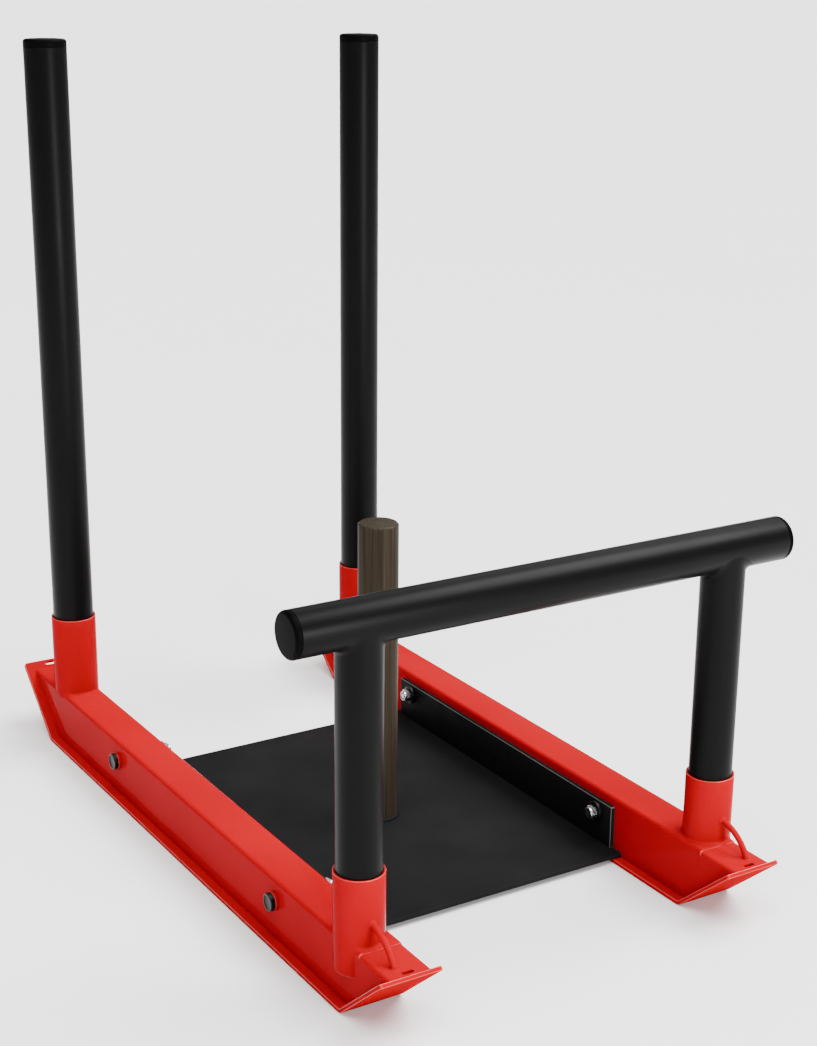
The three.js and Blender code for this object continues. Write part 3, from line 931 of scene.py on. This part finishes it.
        half_width = (self.ski_high[0] - self.ski_low[0]) / 2 - drawn_in(self.tip_corner)
        half_thick = self.thickness / 2 - drawn_in(self.plate_edge)
        loop = rounded_loop(1, 1, 0.5, 5)
        edge = np.minimum(self.plate_edge, half_thick)[:, None]
        turn = (np.arange(4)[:, None] * np.pi / 2 + np.linspace(0, np.pi / 2, 5)).ravel()
        across = np.sign(loop[:, 0]) * (half_width[:, None] - edge) + edge * np.cos(turn)
        through = np.sign(loop[:, 1]) * (half_thick[:, None] - edge) + edge * np.sin(turn)
        through = through + self.thickness / 2
        y = line[:, :1] + through * normal[:, :1]
        z = line[:, 1:] + through * normal[:, 1:]
        return Shell.loft(np.stack([self.centre + across, y, z], -1))

    def slot_cutter(self, size: tuple[float, float], depth: float) -> Shell:
        """A stadium-shaped cutter, long along X and centred on the origin."""
        loop = rounded_loop(size[0] / 2, size[1] / 2, size[1] / 2 - 0.01, 9)
        rings = [np.column_stack([loop, np.full(len(loop), level)]) for level in (-depth, depth)]
        return Shell.loft(np.stack(rings))

    def ski(self) -> None:
        """Make the ski with the slot in its raised rear lip."""
        rise = self.ski_high[2]
        edge_y = self.rear.reach(rise, self.thickness)
        centre = np.array([self.centre, edge_y, rise]) - self.rear.along * self.lip_slot_inset
        cutter = self.slot_cutter(self.lip_slot, self.lip_slot_cut)
        cutter = cutter.turned("X", math.degrees(self.turn_up)).moved(*centre)
        name = f"ski_plate_{self.side.label}_painted"
        mesh = carve(self.ski_shell(), cutter, name)
        place(name, mesh, RED_COAT, "sled", f"ski_plate_{self.side.label}")
        # Faces that look down get the darker, unreflecting red: painted shade on the underside.
        shade_underside(mesh, RED_SHADED_SOLE)

    def box_section(self, top: float) -> Array:
        """The runner box's section where its top is at a level.

        The upper corners are wide rounds and the lower ones are nearly sharp.

        Args:
            top: the level of the top.

        Returns:
            X from the middle of the runner, and Z, of each point.
        """
        bottom = self.thickness - self.sink
        middle, half_height = (top + bottom) / 2, (top - bottom) / 2
        upper, lower = (rounded_loop(self.half_width, half_height, radius)
                        for radius in (self.top_corner, self.sole_corner))
        section = np.where(upper[:, 1:] > 0, upper, lower)
        return section + [0, middle]

    def runner_box(self) -> None:
        """Make the beam and the nose box as the one box that they are welded and coated into.

        Sections follow each other along Y. The first and the last lie on the slopes of the ski,
        so each of their points is at reach(z). Between them the top follows the riser, and
        y = max(riser's y, reach(z)) keeps the lower points behind the slope.
        """
        seat = self.thickness - self.sink
        nose_top, beam_top = self.nose_high[2], self.beam_high[2]
        rings = []
        for slope, top in ((self.front, nose_top), (self.rear, beam_top)):
            section = self.box_section(top)
            reach = slope.reach(section[:, 1], seat)
            rings.append(np.column_stack([section[:, 0], reach, section[:, 1]]))
        steps = []
        for y, top in zip(self.riser_y, self.riser_level):
            section = self.box_section(top)
            behind = np.maximum(y, self.front.reach(section[:, 1], seat))
            steps.append(np.column_stack([section[:, 0], behind, section[:, 1]]))
        shell = Shell.loft(np.stack([rings[0], *steps, rings[1]])).moved(x=self.centre)
        slot_y = self.front.reach(nose_top, seat) + self.nose_slot_inset
        cutter = self.slot_cutter(self.nose_slot, self.nose_slot_cut)
        label = self.side.label
        name = f"runner_box_{label}_painted"
        mesh = carve(shell, cutter.moved(self.centre, slot_y, nose_top), name)
        place(name, mesh, RED_COAT, "sled", f"runner_beam_{label}", f"nose_box_{label}")

    def beam_level(self, x: Array, y: Array) -> Array:
        """Level of the runner box's upper surface.

        It follows the riser along Y. On the round long edge it sinks by R - sqrt(R^2 - d^2), at
        d past the start of the round.
        """
        top = np.interp(y, self.riser_y, self.riser_level)
        over = np.clip(np.abs(x - self.centre) - (self.half_width - self.top_corner), 0,
                       self.top_corner)
        return top - self.top_corner + np.sqrt(self.top_corner ** 2 - over ** 2)

    def foot_fillet(self, axis: Array, radius: float, start: float, stop: float,
                    closed: bool) -> Shell:
        """The weld round the foot of a socket, over a range of angles in degrees.

        Each section leaves the wall at one weld size above the beam, comes down to it one weld
        size out, and sags between them along a parabola towards the corner. Where the socket
        reaches past the beam, the section runs under its rim and ends on the beam's side.

        Args:
            axis: the socket's axis in X and Y.
            radius: the socket's outer radius.
            start: the first angle.
            stop: the last angle.
            closed: whether the weld goes all the way round.

        Returns:
            The weld.
        """
        angle = arc(start, stop, 145)
        angle = angle[:-1] if closed else angle
        out = np.stack([np.cos(angle), np.sin(angle)], -1)
        from_end = radius * np.minimum(angle - angle[0], angle[-1] - angle)
        taper = 1 if closed else np.sqrt(np.clip(from_end / self.foot_weld, 0.04, 1))
        ripple = 1 + 0.03 * np.sin(radius * angle * 2) + 0.02 * np.sin(radius * angle * 0.7)
        size = (self.foot_weld * ripple * taper)[:, None]
        wall = axis + radius * out
        limit = self.half_width + self.sink
        toe = axis + (radius + size) * out
        toe[:, 0] = np.clip(toe[:, 0], self.centre - limit, self.centre + limit)
        past = np.clip(np.abs(wall[:, :1] - self.centre) - self.half_width, 0, None)
        seat = self.beam_level(wall[:, :1], wall[:, 1:])
        toe_level = self.beam_level(toe[:, :1], toe[:, 1:]) - np.minimum(past, size) - self.sink
        skin = wall + self.sink * out
        top = np.concatenate([skin, self.beam_high[2] + size], -1)
        corner = np.concatenate([skin, seat], -1)
        toe = np.concatenate([toe, toe_level], -1)
        share = np.linspace(0, 1, 9)[:, None, None]
        curve = (1 - share) ** 2 * top + 2 * share * (1 - share) * corner + share ** 2 * toe
        inward = np.column_stack([out, np.zeros(len(out))]) * (self.socket_wall / 2)
        buried = [top - inward, toe - inward - [0, 0, self.socket_wall / 2]]
        rings = np.concatenate([buried[:1], curve, buried[1:]]).transpose(1, 0, 2)
        return Shell.loft(rings, wrap=closed)

    def rear_socket(self) -> None:
        """Make the rear socket, a tube standing on the beam in a ring of weld."""
        low, high = self.rear_levels
        tube = Shell.revolve(tube_profile(self.rear_radius, self.rear_radius - self.socket_wall,
                                          low, high, self.socket_lip))
        label = self.side.label
        place(f"rear_socket_{label}_painted", tube.moved(*self.rear_axis), RED_COAT, "sled",
              f"rear_socket_{label}")
        place(f"rear_socket_weld_{label}",
              self.foot_fillet(self.rear_axis, self.rear_radius, 0, 360, True), RED_WELD, "sled",
              sharp=WELD_CRISP_ANGLE)

    def front_socket(self) -> None:
        """Make the front socket, cut over the beam so that its outboard side hangs down."""
        low, high = self.front_levels
        label = self.side.label
        radius = self.front_radius
        tube = Shell.revolve(tube_profile(radius, radius - self.socket_wall, low, high,
                                          self.socket_lip)).moved(*self.front_axis)
        sign = self.side.value
        face = self.centre + sign * (self.half_width - self.sink)
        far = face - sign * 3 * radius
        span = 2 * radius
        corners = np.array([[face, -span], [far, -span], [far, span], [face, span]])
        corners[:, 1] += self.front_axis[1]
        seat = self.beam_high[2] - self.sink
        rings = [np.column_stack([corners, np.full(4, level)]) for level in (low - radius, seat)]
        name = f"front_socket_{label}_painted"
        mesh = carve(tube, Shell.loft(np.stack(rings)), name, self.saddle_round)
        place(name, mesh, RED_COAT, "sled", f"front_socket_{label}")
        edge = math.degrees(math.acos(abs(face - self.front_axis[0]) / radius))
        middle = 180.0 if sign > 0 else 0.0
        reach = 180 - edge + self.foot_weld_past_degrees
        place(f"front_socket_weld_{label}",
              self.foot_fillet(self.front_axis, radius, middle - reach, middle + reach, False),
              RED_WELD, "sled", sharp=WELD_CRISP_ANGLE)

    def collar(self) -> Shell:
        """The weld round an end of the tow loop: a cone with hollow flanks, its foot at zero.

        The flank is a quarter circle about a centre out at the foot's rim and up at its top.
        """
        turn = arc(0, 90, 7)
        size = self.loop_weld
        flank = np.stack([self.loop_radius + size * (1 - np.sin(turn)),
                          size * (1 - np.cos(turn))], -1)
        rim = self.loop_radius + size
        profile = np.concatenate([[[0, -size], [rim, -size]], flank, [[0, size]]])
        return Shell.revolve(profile, 40)

    def tow_loop(self) -> None:
        """Make the bent rod from the front socket down to the nose box, with its end welds."""
        seat = self.nose_high[2]
        low, _ = node_box(f"tow_loop_{self.side.label}")
        x = self.front_axis[0]
        top = np.array([x, self.front_axis[1] - self.front_radius, seat + self.loop_height])
        foot = np.array([x, low[1] + self.loop_radius + self.loop_weld, seat])
        chord = foot - top
        length = np.linalg.norm(chord)
        along = chord / length
        outward = np.cross(along, [1, 0, 0])
        outward /= np.linalg.norm(outward)
        radius = (length ** 2 / 4 + self.loop_bulge ** 2) / (2 * self.loop_bulge)
        half = math.asin(length / 2 / radius)
        centre = (top + foot) / 2 + outward * (self.loop_bulge - radius)
        turn = np.linspace(-half, half, 28)[:, None]
        path = centre + radius * (np.cos(turn) * outward + np.sin(turn) * along)
        into = [path[0] - path[1], path[-1] - path[-2]]
        ends = [tip + step / np.linalg.norm(step) * self.loop_run_in
                for tip, step in zip((path[0], path[-1]), into)]
        path = np.concatenate([ends[:1], path, ends[1:]])
        rod = sweep(path, np.cross(outward, along), self.loop_radius, 24)
        welds = [self.collar().turned("X", 90).moved(*top), self.collar().moved(*foot)]
        place(f"tow_loop_{self.side.label}_painted", rod.joined(*welds), RED_WELD, "sled",
              f"tow_loop_{self.side.label}")

    def slope_welds(self) -> None:
        """Weld the beam to the rear slope and the nose to the front slope, along both sides."""
        beads = []
        ends = ((self.rear, self.beam_high[2]), (self.front, self.nose_high[2]))
        for sign in (-1, 1):
            for slope, top in ends:
                level = np.linspace(self.thickness + self.bend_radius, top - self.top_corner, 60)
                y = slope.reach(level, self.thickness)
                x = np.full_like(level, self.centre + sign * self.half_width)
                path = np.stack([x, y, level], -1)
                beads.append(weld_bead(path, np.array([1, 0, 0]), self.seam_weld, seed=11))
        place(f"slope_welds_{self.side.label}", beads[0].joined(*beads[1:]), RED_WELD, "sled")

    def build(self) -> None:
        """Make every piece of this runner."""
        self.ski()
        self.runner_box()
        self.rear_socket()
        self.front_socket()
        self.tow_loop()
        self.slope_welds()


def cap_shell(tube_radius: float, length: float, rounding: float, plug_radius: float,
              plug_length: float) -> Shell:
    """A tube end cap: a disc with a round rim, and a plug below it.

    Args:
        tube_radius: the tube's outer radius.
        length: how far the disc stands above the tube's end.
        rounding: the radius of the disc's rim.
        plug_radius: the radius of the plug.
        plug_length: how far the plug reaches into the tube.

    Returns:
        The cap, with the tube's end at height zero.
    """
    turn = arc(0, 90, 10)
    rim = np.stack([tube_radius - rounding + rounding * np.cos(turn),
                    length - rounding + rounding * np.sin(turn)], -1)
    seam = 0.25
    start = [[0, -plug_length], [plug_radius, -plug_length], [plug_radius, SEAT_GAP],
             [tube_radius - seam, SEAT_GAP], [tube_radius, SEAT_GAP + seam]]
    return Shell.revolve(np.concatenate([start, rim, [[0, length]]]))


@dataclass
class PushPoles:
    """The two tall poles at the rear, each a body of its own."""

    cap_rounding: float = 4.0
    wall: float = 2.5
    seam: float = 0.5

    def build(self) -> None:
        """Make both poles and their end caps."""
        for side in Side:
            label = side.label
            low, high = node_box(f"push_pole_{label}")
            axis = (low[:2] + high[:2]) / 2
            radius = (high[1] - low[1]) / 2
            cap_low, cap_high = node_box(f"pole_cap_{label}")
            tube = Shell.revolve(tube_profile(radius, radius - self.wall, low[2], high[2],
                                              self.seam))
            body = f"{label}_push_pole"
            place(f"push_pole_{label}_coated", tube.moved(*axis), BLACK_COAT, body,
                  f"push_pole_{label}")
            cap = cap_shell(radius, cap_high[2] - high[2], self.cap_rounding,
                            radius - self.wall - SEAT_GAP, high[2] - cap_low[2])
            place(f"pole_cap_{label}_moulded", cap.moved(*axis, high[2]), CAP_PLASTIC, body,
                  f"pole_cap_{label}")


@dataclass
class LowHandle:
    """The low handle: a crossbar with end caps, and two legs joined to it by swept welds."""

    wall: float = 2.5
    lip: float = 0.5
    cap_rounding: float = 4.4
    toe_drop: float = 7.0
    toe_rise: float = 16.0
    blend: float = 9.0

    def __post_init__(self) -> None:
        """Read the handle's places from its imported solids."""
        self.low, self.high = node_box("handle_crossbar")
        self.radius = (self.high[1] - self.low[1]) / 2
        self.axis_y = (self.high[1] + self.low[1]) / 2
        self.axis_z = (self.high[2] + self.low[2]) / 2

    def crossbar(self) -> None:
        """Make the crossbar and both end caps."""
        half = (self.high[0] - self.low[0]) / 2
        wall = tube_profile(self.radius, self.radius - self.wall, -half, half, self.lip)
        bar = Shell.revolve(wall).turned("Y", 90).moved(0, self.axis_y, self.axis_z)
        place("handle_crossbar_coated", bar, BLACK_COAT, "low_handle", "handle_crossbar")
        for side in Side:
            low, high = node_box(f"crossbar_cap_{side.label}")
            outer = high[0] if side is Side.RIGHT else -low[0]
            inner = low[0] if side is Side.RIGHT else -high[0]
            cap = cap_shell(self.radius, outer - half, self.cap_rounding,
                            self.radius - self.wall - SEAT_GAP, half - inner)
            turned = cap.turned("Y", 90 * side.value)
            place(f"crossbar_cap_{side.label}_moulded",
                  turned.moved(side.value * half, self.axis_y, self.axis_z), CAP_PLASTIC,
                  "low_handle", f"crossbar_cap_{side.label}")

    def leg_rings(self, foot: float) -> Array:
        """A leg whose top sweeps out into the crossbar.

        At the angle a round the leg, the two tubes meet in the corner x = R cos a, y = R sin a,
        z = H - R |cos a|. The sweep leaves the leg at z = H - R - drop + rise sin^2 a. It comes
        to the bar a blend's width away from the corner, measured square to the corner's line on
        the bar's unrolled surface. Between the two it is a parabola drawn to the corner.

        Args:
            foot: the level of the leg's lower end.

        Returns:
            Rings from the foot up to the bar, about the leg's own axis.
        """
        radius = self.radius
        angle = np.linspace(0, 2 * np.pi, 128, endpoint=False)
        across, depth = np.cos(angle), np.sin(angle)
        flat = np.ones_like(angle)
        soft_across = np.sqrt(across ** 2 + 0.02)
        corner = np.stack([radius * across, radius * depth, self.axis_z - radius * soft_across])
        toe = self.axis_z - radius - self.toe_drop + self.toe_rise * depth ** 2
        leave = np.stack([radius * across, radius * depth, np.minimum(toe, corner[2])])
        away = np.stack([np.tanh(3 * across), depth])
        away /= np.linalg.norm(away, axis=0)
        lean = np.arcsin(np.clip(depth, -1, 1)) + self.blend / radius * away[1]
        meet = np.stack([radius * across + self.blend * away[0], radius * np.sin(lean),
                         self.axis_z - radius * np.cos(lean)])
        inner = radius - self.wall / 2
        buried = np.stack([meet[0], inner * np.sin(lean), self.axis_z - inner * np.cos(lean)])
        share = np.linspace(0, 1, 16)[:, None, None]
        curve = (1 - share) ** 2 * leave + 2 * share * (1 - share) * corner + share ** 2 * meet
        bottom = [np.stack([size * across, size * depth, level * flat])
                  for size, level in ((radius - self.lip, foot), (radius, foot + self.lip))]
        crown = np.stack([radius / 2 * across, radius / 2 * depth, self.axis_z * flat])
        return np.stack([*bottom, *curve, buried, crown]).transpose(0, 2, 1)

    def build(self) -> None:
        """Make the whole handle."""
        self.crossbar()
        for side in Side:
            low, high = node_box(f"handle_leg_{side.label}")
            shell = Shell.loft(self.leg_rings(low[2]))
            place(f"handle_leg_{side.label}_coated",
                  shell.moved((low[0] + high[0]) / 2, self.axis_y, 0), BLACK_COAT, "low_handle",
                  f"handle_leg_{side.label}")


@dataclass
class Tray:
    """The tray between the runners: floor, two upright sides and the post for plates."""

    floor_edge: float = 2.4
    floor_side_edge: float = 0.6
    side_corner: float = 1.5
    side_edge: float = 0.7
    post_bead: float = 4.0
    post_chamfer: float = 2.0
    post_soft: float = 0.3
    post_weld: float = 2.6
    post_weld_out: float = 0.8
    post_weld_up: float = 0.6

    def floor(self) -> None:
        """Make the floor plate, its front and rear edges well rounded."""
        low, high = node_box("tray_floor")
        size = (high - low) / 2
        centre = (high + low) / 2
        stations, inset = soft_ends(2 * size[0], self.floor_side_edge)
        loop = rounded_loop(size[1], size[2], self.floor_edge)
        scale_y = 1 - inset[:, None] / size[1]
        scale_z = 1 - inset[:, None] / size[2]
        x = np.broadcast_to(stations[:, None] - size[0], (len(stations), len(loop)))
        rings = np.stack([x, loop[:, 0] * scale_y, loop[:, 1] * scale_z], -1)
        place("tray_floor_coated", Shell.loft(rings).moved(*centre), TRAY_COAT, "sled",
              "tray_floor")

    def sides(self) -> None:
        """Make the upright side plates."""
        for side in Side:
            low, high = node_box(f"tray_side_{side.label}")
            size, centre = (high - low) / 2, (high + low) / 2
            plate = soft_slab(size[1], size[2], self.side_corner, 2 * size[0], self.side_edge)
            place(f"tray_side_{side.label}_coated", plate.moved(low[0], centre[1], centre[2]),
                  TRAY_COAT, "sled", f"tray_side_{side.label}")

    def post(self) -> None:
        """Make the post with its chamfered top and the weld round its foot.

        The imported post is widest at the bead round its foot, so the tube is narrower than its box.
        """
        low, high = node_box("weight_post")
        axis = (high[:2] + low[:2]) / 2
        radius = (high[0] - low[0]) / 2 - self.post_bead
        base, top = low[2], high[2]
        chamfer, soft = self.post_chamfer, self.post_soft
        profile = [[0, base], [radius, base], [radius, top - chamfer - soft],
                   [radius - soft / 2, top - chamfer], [radius - chamfer, top - soft / 2],
                   [radius - chamfer - soft, top], [0, top]]
        place("weight_post_lacquered", Shell.revolve(np.array(profile, float)).moved(*axis),
              BRONZE_STEEL, "sled", "weight_post")
        angle = arc(-178, 178, 140)
        ring = radius + self.post_weld_out
        path = np.stack([axis[0] + ring * np.cos(angle), axis[1] + ring * np.sin(angle),
                         np.full(len(angle), base + self.post_weld_up)], -1)
        place("weight_post_weld", weld_bead(path, np.array([0, 0, 1]), self.post_weld, seed=21),
              TRAY_WELD, "sled")

    def build(self) -> None:
        """Make the whole tray."""
        self.floor()
        self.sides()
        self.post()


@dataclass
class TrayBolt:
    """One bolt through a beam: boss and head outboard, spacer and nut inside the tray."""

    side: Side
    end: End
    head_rim: float = 2.6
    head_dish: float = 0.9
    head_round: float = 1.2
    nut_across: float = 16.0
    nut_collar: float = 2.8
    nut_lean_degrees: float = 30.0
    thread_radius: float = 5.0
    washer_play: float = 0.4
    boss_soft: float = 0.6
    spacer_soft: float = 0.8

    def __post_init__(self) -> None:
        """Read the bolt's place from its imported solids."""
        self.tail = f"{self.end.label}_{self.side.label}"
        low, high = node_box(f"bolt_{self.tail}")
        self.axis_y, self.axis_z = ((low + high) / 2)[1:]

    def span(self, name: str) -> tuple[float, float]:
        """Lowest and highest place of a solid along the bolt, counted outboard from the middle."""
        low, high = node_box(f"{name}_{self.tail}")
        return (low[0], high[0]) if self.side is Side.RIGHT else (-high[0], -low[0])

    def turned(self, shell: Shell) -> Shell:
        """Lay a shell that stands along Z on this bolt's axis, its top outboard."""
        return shell.turned("Y", 90 * self.side.value).moved(0, self.axis_y, self.axis_z)

    def washer(self, node: str, finish: Finish, soft: float) -> None:
        """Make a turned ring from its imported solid.

        Args:
            node: the start of the node's name.
            finish: its surface finish.
            soft: the radius of its rims.
        """
        low, high = node_box(f"{node}_{self.tail}")
        inner, outer = self.span(node)
        profile = tube_profile((high[2] - low[2]) / 2, self.thread_radius + self.washer_play,
                               inner, outer, soft)
        place(f"{node}_{self.tail}_turned", self.turned(Shell.revolve(profile, 64)), finish,
              "sled", f"{node}_{self.tail}")

    def hexagon(self, across: float, segments: int = 96) -> tuple[Array, Array]:
        """Radius of a hexagon at each angle, r = a / cos(angle to the nearest flat's middle)."""
        angle = np.linspace(0, 2 * np.pi, segments, endpoint=False)
        from_flat = (angle + np.pi / 6) % (np.pi / 3) - np.pi / 6
        return angle, across / 2 / np.cos(from_flat)

    def nut(self) -> None:
        """Make the lock nut: a hexagon with a round collar on its free side.

        The hexagon's corners are turned off: outside a circle of radius t, a little inside the
        flats, the face at radius r lies at h - (r - t) tan(lean). The collar rises from it with a
        round rim.
        """
        inner, outer = self.span("bolt_nut")
        angle, radius = self.hexagon(self.nut_across)
        flat = np.ones_like(angle)
        touch = self.nut_across / 2 * 0.96
        drop = np.clip(radius - touch, 0, None) * math.tan(math.radians(self.nut_lean_degrees))
        bore = self.thread_radius + 0.05
        shelf = inner + self.nut_collar
        collar = touch - 0.7
        turn = arc(0, 90, 6)
        rim = 1.1
        rows = [(bore * flat, (inner + 1.2) * flat), (bore * flat, (inner + 0.3) * flat),
                ((bore + 0.3) * flat, inner * flat)]
        rows += [((collar - rim + rim * math.sin(step)) * flat,
                  (inner + rim - rim * math.cos(step)) * flat) for step in turn]
        rows += [(collar * flat, (shelf - 0.3) * flat), ((collar + 0.3) * flat, shelf * flat),
                 (touch * flat, shelf * flat), (radius, shelf + drop), (radius, outer - drop),
                 (touch * flat, outer * flat), ((bore + 0.8) * flat, outer * flat),
                 ((bore + 0.8) * flat, (inner + 1.2) * flat)]
        rings = np.stack([np.stack([r * np.cos(angle), r * np.sin(angle), h], -1)
                          for r, h in rows])
        place(f"bolt_nut_{self.tail}_plated", self.turned(Shell.loft(rings, wrap=True)), ZINC,
              "sled", f"bolt_nut_{self.tail}")

    def bolt(self) -> None:
        """Make the bolt: a round head with a dished face inside a rim, and a shank."""
        low, high = node_box(f"bolt_{self.tail}")
        inner, outer = self.span("bolt")
        radius = (high[2] - low[2]) / 2
        seat = self.span("bolt_boss")[1]
        shank = self.thread_radius - 0.1
        dish = radius - self.head_rim
        turn = arc(0, 90, 6)
        shoulder = np.stack([radius - self.head_round * (1 - np.cos(turn)),
                             outer - self.head_round * (1 - np.sin(turn))], -1)
        floor = outer - self.head_dish
        start = [[0, inner + 0.8], [shank - 1.6, inner + 0.8], [shank - 1.0, inner + 0.2],
                 [shank - 0.3, inner + 0.2], [shank, inner + 0.6], [shank, seat],
                 [radius - 0.4, seat], [radius, seat + 0.4]]
        face = [[dish + 0.5, outer], [dish + 0.1, outer - 0.25], [dish - 0.3, floor + 0.2],
                [dish - 0.8, floor], [0, floor]]
        profile = np.concatenate([start, shoulder, face])
        place(f"bolt_{self.tail}_blackened", self.turned(Shell.revolve(profile, 64)),
              BLACK_OXIDE, "sled", f"bolt_{self.tail}")
        tip = [[0, inner + 1.6], [shank - 1.7, inner + 1.6], [shank - 1.7, inner + 0.7],
               [0, inner + 0.4]]
        place(f"bolt_tip_{self.tail}_plated", self.turned(Shell.revolve(np.array(tip), 32)),
              ZINC, "sled")

    def build(self) -> None:
        """Make every piece of this bolt."""
        self.washer("bolt_boss", RED_COAT, self.boss_soft)
        self.washer("bolt_spacer", BLACK_OXIDE, self.spacer_soft)
        self.nut()
        self.bolt()


@dataclass
class PhotoCamera:
    """The photograph's camera, found by fitting the sled's tubes and runners to it.

    The place is counted from the low handle's axis on the ground, in millimetres.
    """

    place: tuple[float, float, float] = (-1094.9, -1487.5, 1052.7)
    azimuth: float = -32.0
    elevation: float = 18.0
    roll: float = 0.6
    focal_px: float = 1859.0
    centre_px: tuple[float, float] = (419.0, 555.5)
    picture_px: tuple[int, int] = (817, 1046)
    sensor_mm: float = 36.0
    sight_m: float = 200.0

    def build(self) -> None:
        """Add the camera, with the small shift that the photograph's cropping needs."""
        low, high = node_box("handle_crossbar")
        spot = np.array(self.place) + [0, (low[1] + high[1]) / 2, 0]
        turn, tilt = math.radians(self.azimuth), math.radians(self.elevation)
        back = Vector((math.sin(turn) * math.cos(tilt), -math.cos(turn) * math.cos(tilt),
                       math.sin(tilt)))
        right = Vector((0, 0, 1)).cross(back).normalized()
        up = back.cross(right)
        basis = Matrix((right, up, back)).transposed()
        basis = basis @ Matrix.Rotation(math.radians(self.roll), 3, "Z")
        lens = bpy.data.cameras.new("photo_camera")
        camera = add_object("photo_camera", lens)
        camera.matrix_world = Matrix.Translation(Vector(spot * METRE)) @ basis.to_4x4()
        width, height = self.picture_px
        lens.sensor_fit = "HORIZONTAL"
        lens.sensor_width = self.sensor_mm
        lens.lens = self.focal_px / width * self.sensor_mm
        lens.shift_x = (width / 2 - self.centre_px[0]) / width
        lens.shift_y = (self.centre_px[1] - height / 2) / width
        lens.clip_end = self.sight_m
        bpy.context.scene.camera = camera


@dataclass
class Studio:
    """A white room: a pale floor, a dim even surround, three soft keys and a low front light.

    The left key fills the flanges. The right one draws the highlight along the crossbar, the
    back one widens it up to the bar's upper edge, and the low light draws those on the poles.
    Places and sizes are in metres, and spreads in degrees.
    """

    floor_half: float = 60.0
    floor_level: float = -0.0005
    surround: float = 0.28
    left_key: tuple[float, float, float] = (-0.28, -0.25, 0.93)
    left_strength: float = 4.0
    left_spread: float = 44.0
    right_key: tuple[float, float, float] = (0.56, -0.12, 0.82)
    right_strength: float = 6.5
    right_spread: float = 40.0
    back_key: tuple[float, float, float] = (0.5, 0.5, 0.7)
    back_strength: float = 0.9
    back_spread: float = 50.0
    low_spot: tuple[float, float, float] = (0.15, -3.05, 0.95)
    low_aim: tuple[float, float, float] = (0.0, 0.39, 0.55)
    low_size: tuple[float, float] = (0.8, 1.1)
    low_power: float = 90.0

    def lamp(self, name: str, kind: str, spot: Vector, aim: Vector) -> bpy.types.Light:
        """Add a lamp.

        Args:
            name: the lamp's name.
            kind: Blender's name for its kind.
            spot: its place in metres.
            aim: the point that it faces.

        Returns:
            The lamp's own settings.
        """
        made = bpy.data.lights.new(name, kind)
        holder = add_object(name, made)
        holder.location = spot
        holder.rotation_euler = (aim - spot).to_track_quat("-Z", "Y").to_euler()
        return made

    def floor(self) -> None:
        """Lay the floor."""
        half, level = self.floor_half, self.floor_level
        mesh = bpy.data.meshes.new("studio_floor")
        mesh.from_pydata([(-half, -half, level), (half, -half, level), (half, half, level),
                          (-half, half, level)], [], [(0, 1, 2, 3)])
        mesh.materials.append(FLOOR_PAINT.material())
        floor = add_object("studio_floor", mesh)

    def build(self) -> None:
        """Add the floor, the surround and the lights."""
        world = bpy.data.worlds.new("white_room")
        world.use_nodes = True
        tree = world.node_tree
        tree.nodes.clear()
        glow = add_node(tree, "ShaderNodeBackground", {
            "Color": linear("#FFFFFF"), "Strength": self.surround,
        })
        add_node(tree, "ShaderNodeOutputWorld", {"Surface": glow.outputs["Background"]})
        bpy.context.scene.world = world
        self.floor()
        keys = (("left_key", self.left_key, self.left_strength, self.left_spread),
                ("right_key", self.right_key, self.right_strength, self.right_spread),
                ("back_key", self.back_key, self.back_strength, self.back_spread))
        for name, spot, strength, spread in keys:
            key = self.lamp(name, "SUN", Vector(spot), Vector())
            key.energy = strength
            key.angle = math.radians(spread)
        low = self.lamp("low_front", "AREA", Vector(self.low_spot), Vector(self.low_aim))
        low.shape = "RECTANGLE"
        low.size, low.size_y = self.low_size
        low.energy = self.low_power


def main() -> None:
    """Build the sled's looks, the studio and the camera."""
    logging.basicConfig(level=logging.INFO, format="%(name)s %(message)s")
    PhotoCamera().build()
    Studio().build()
    for side in Side:
        Runner(side).build()
    PushPoles().build()
    LowHandle().build()
    Tray().build()
    for side in Side:
        for end in End:
            TrayBolt(side, end).build()


if __name__ == "__main__":
    main()
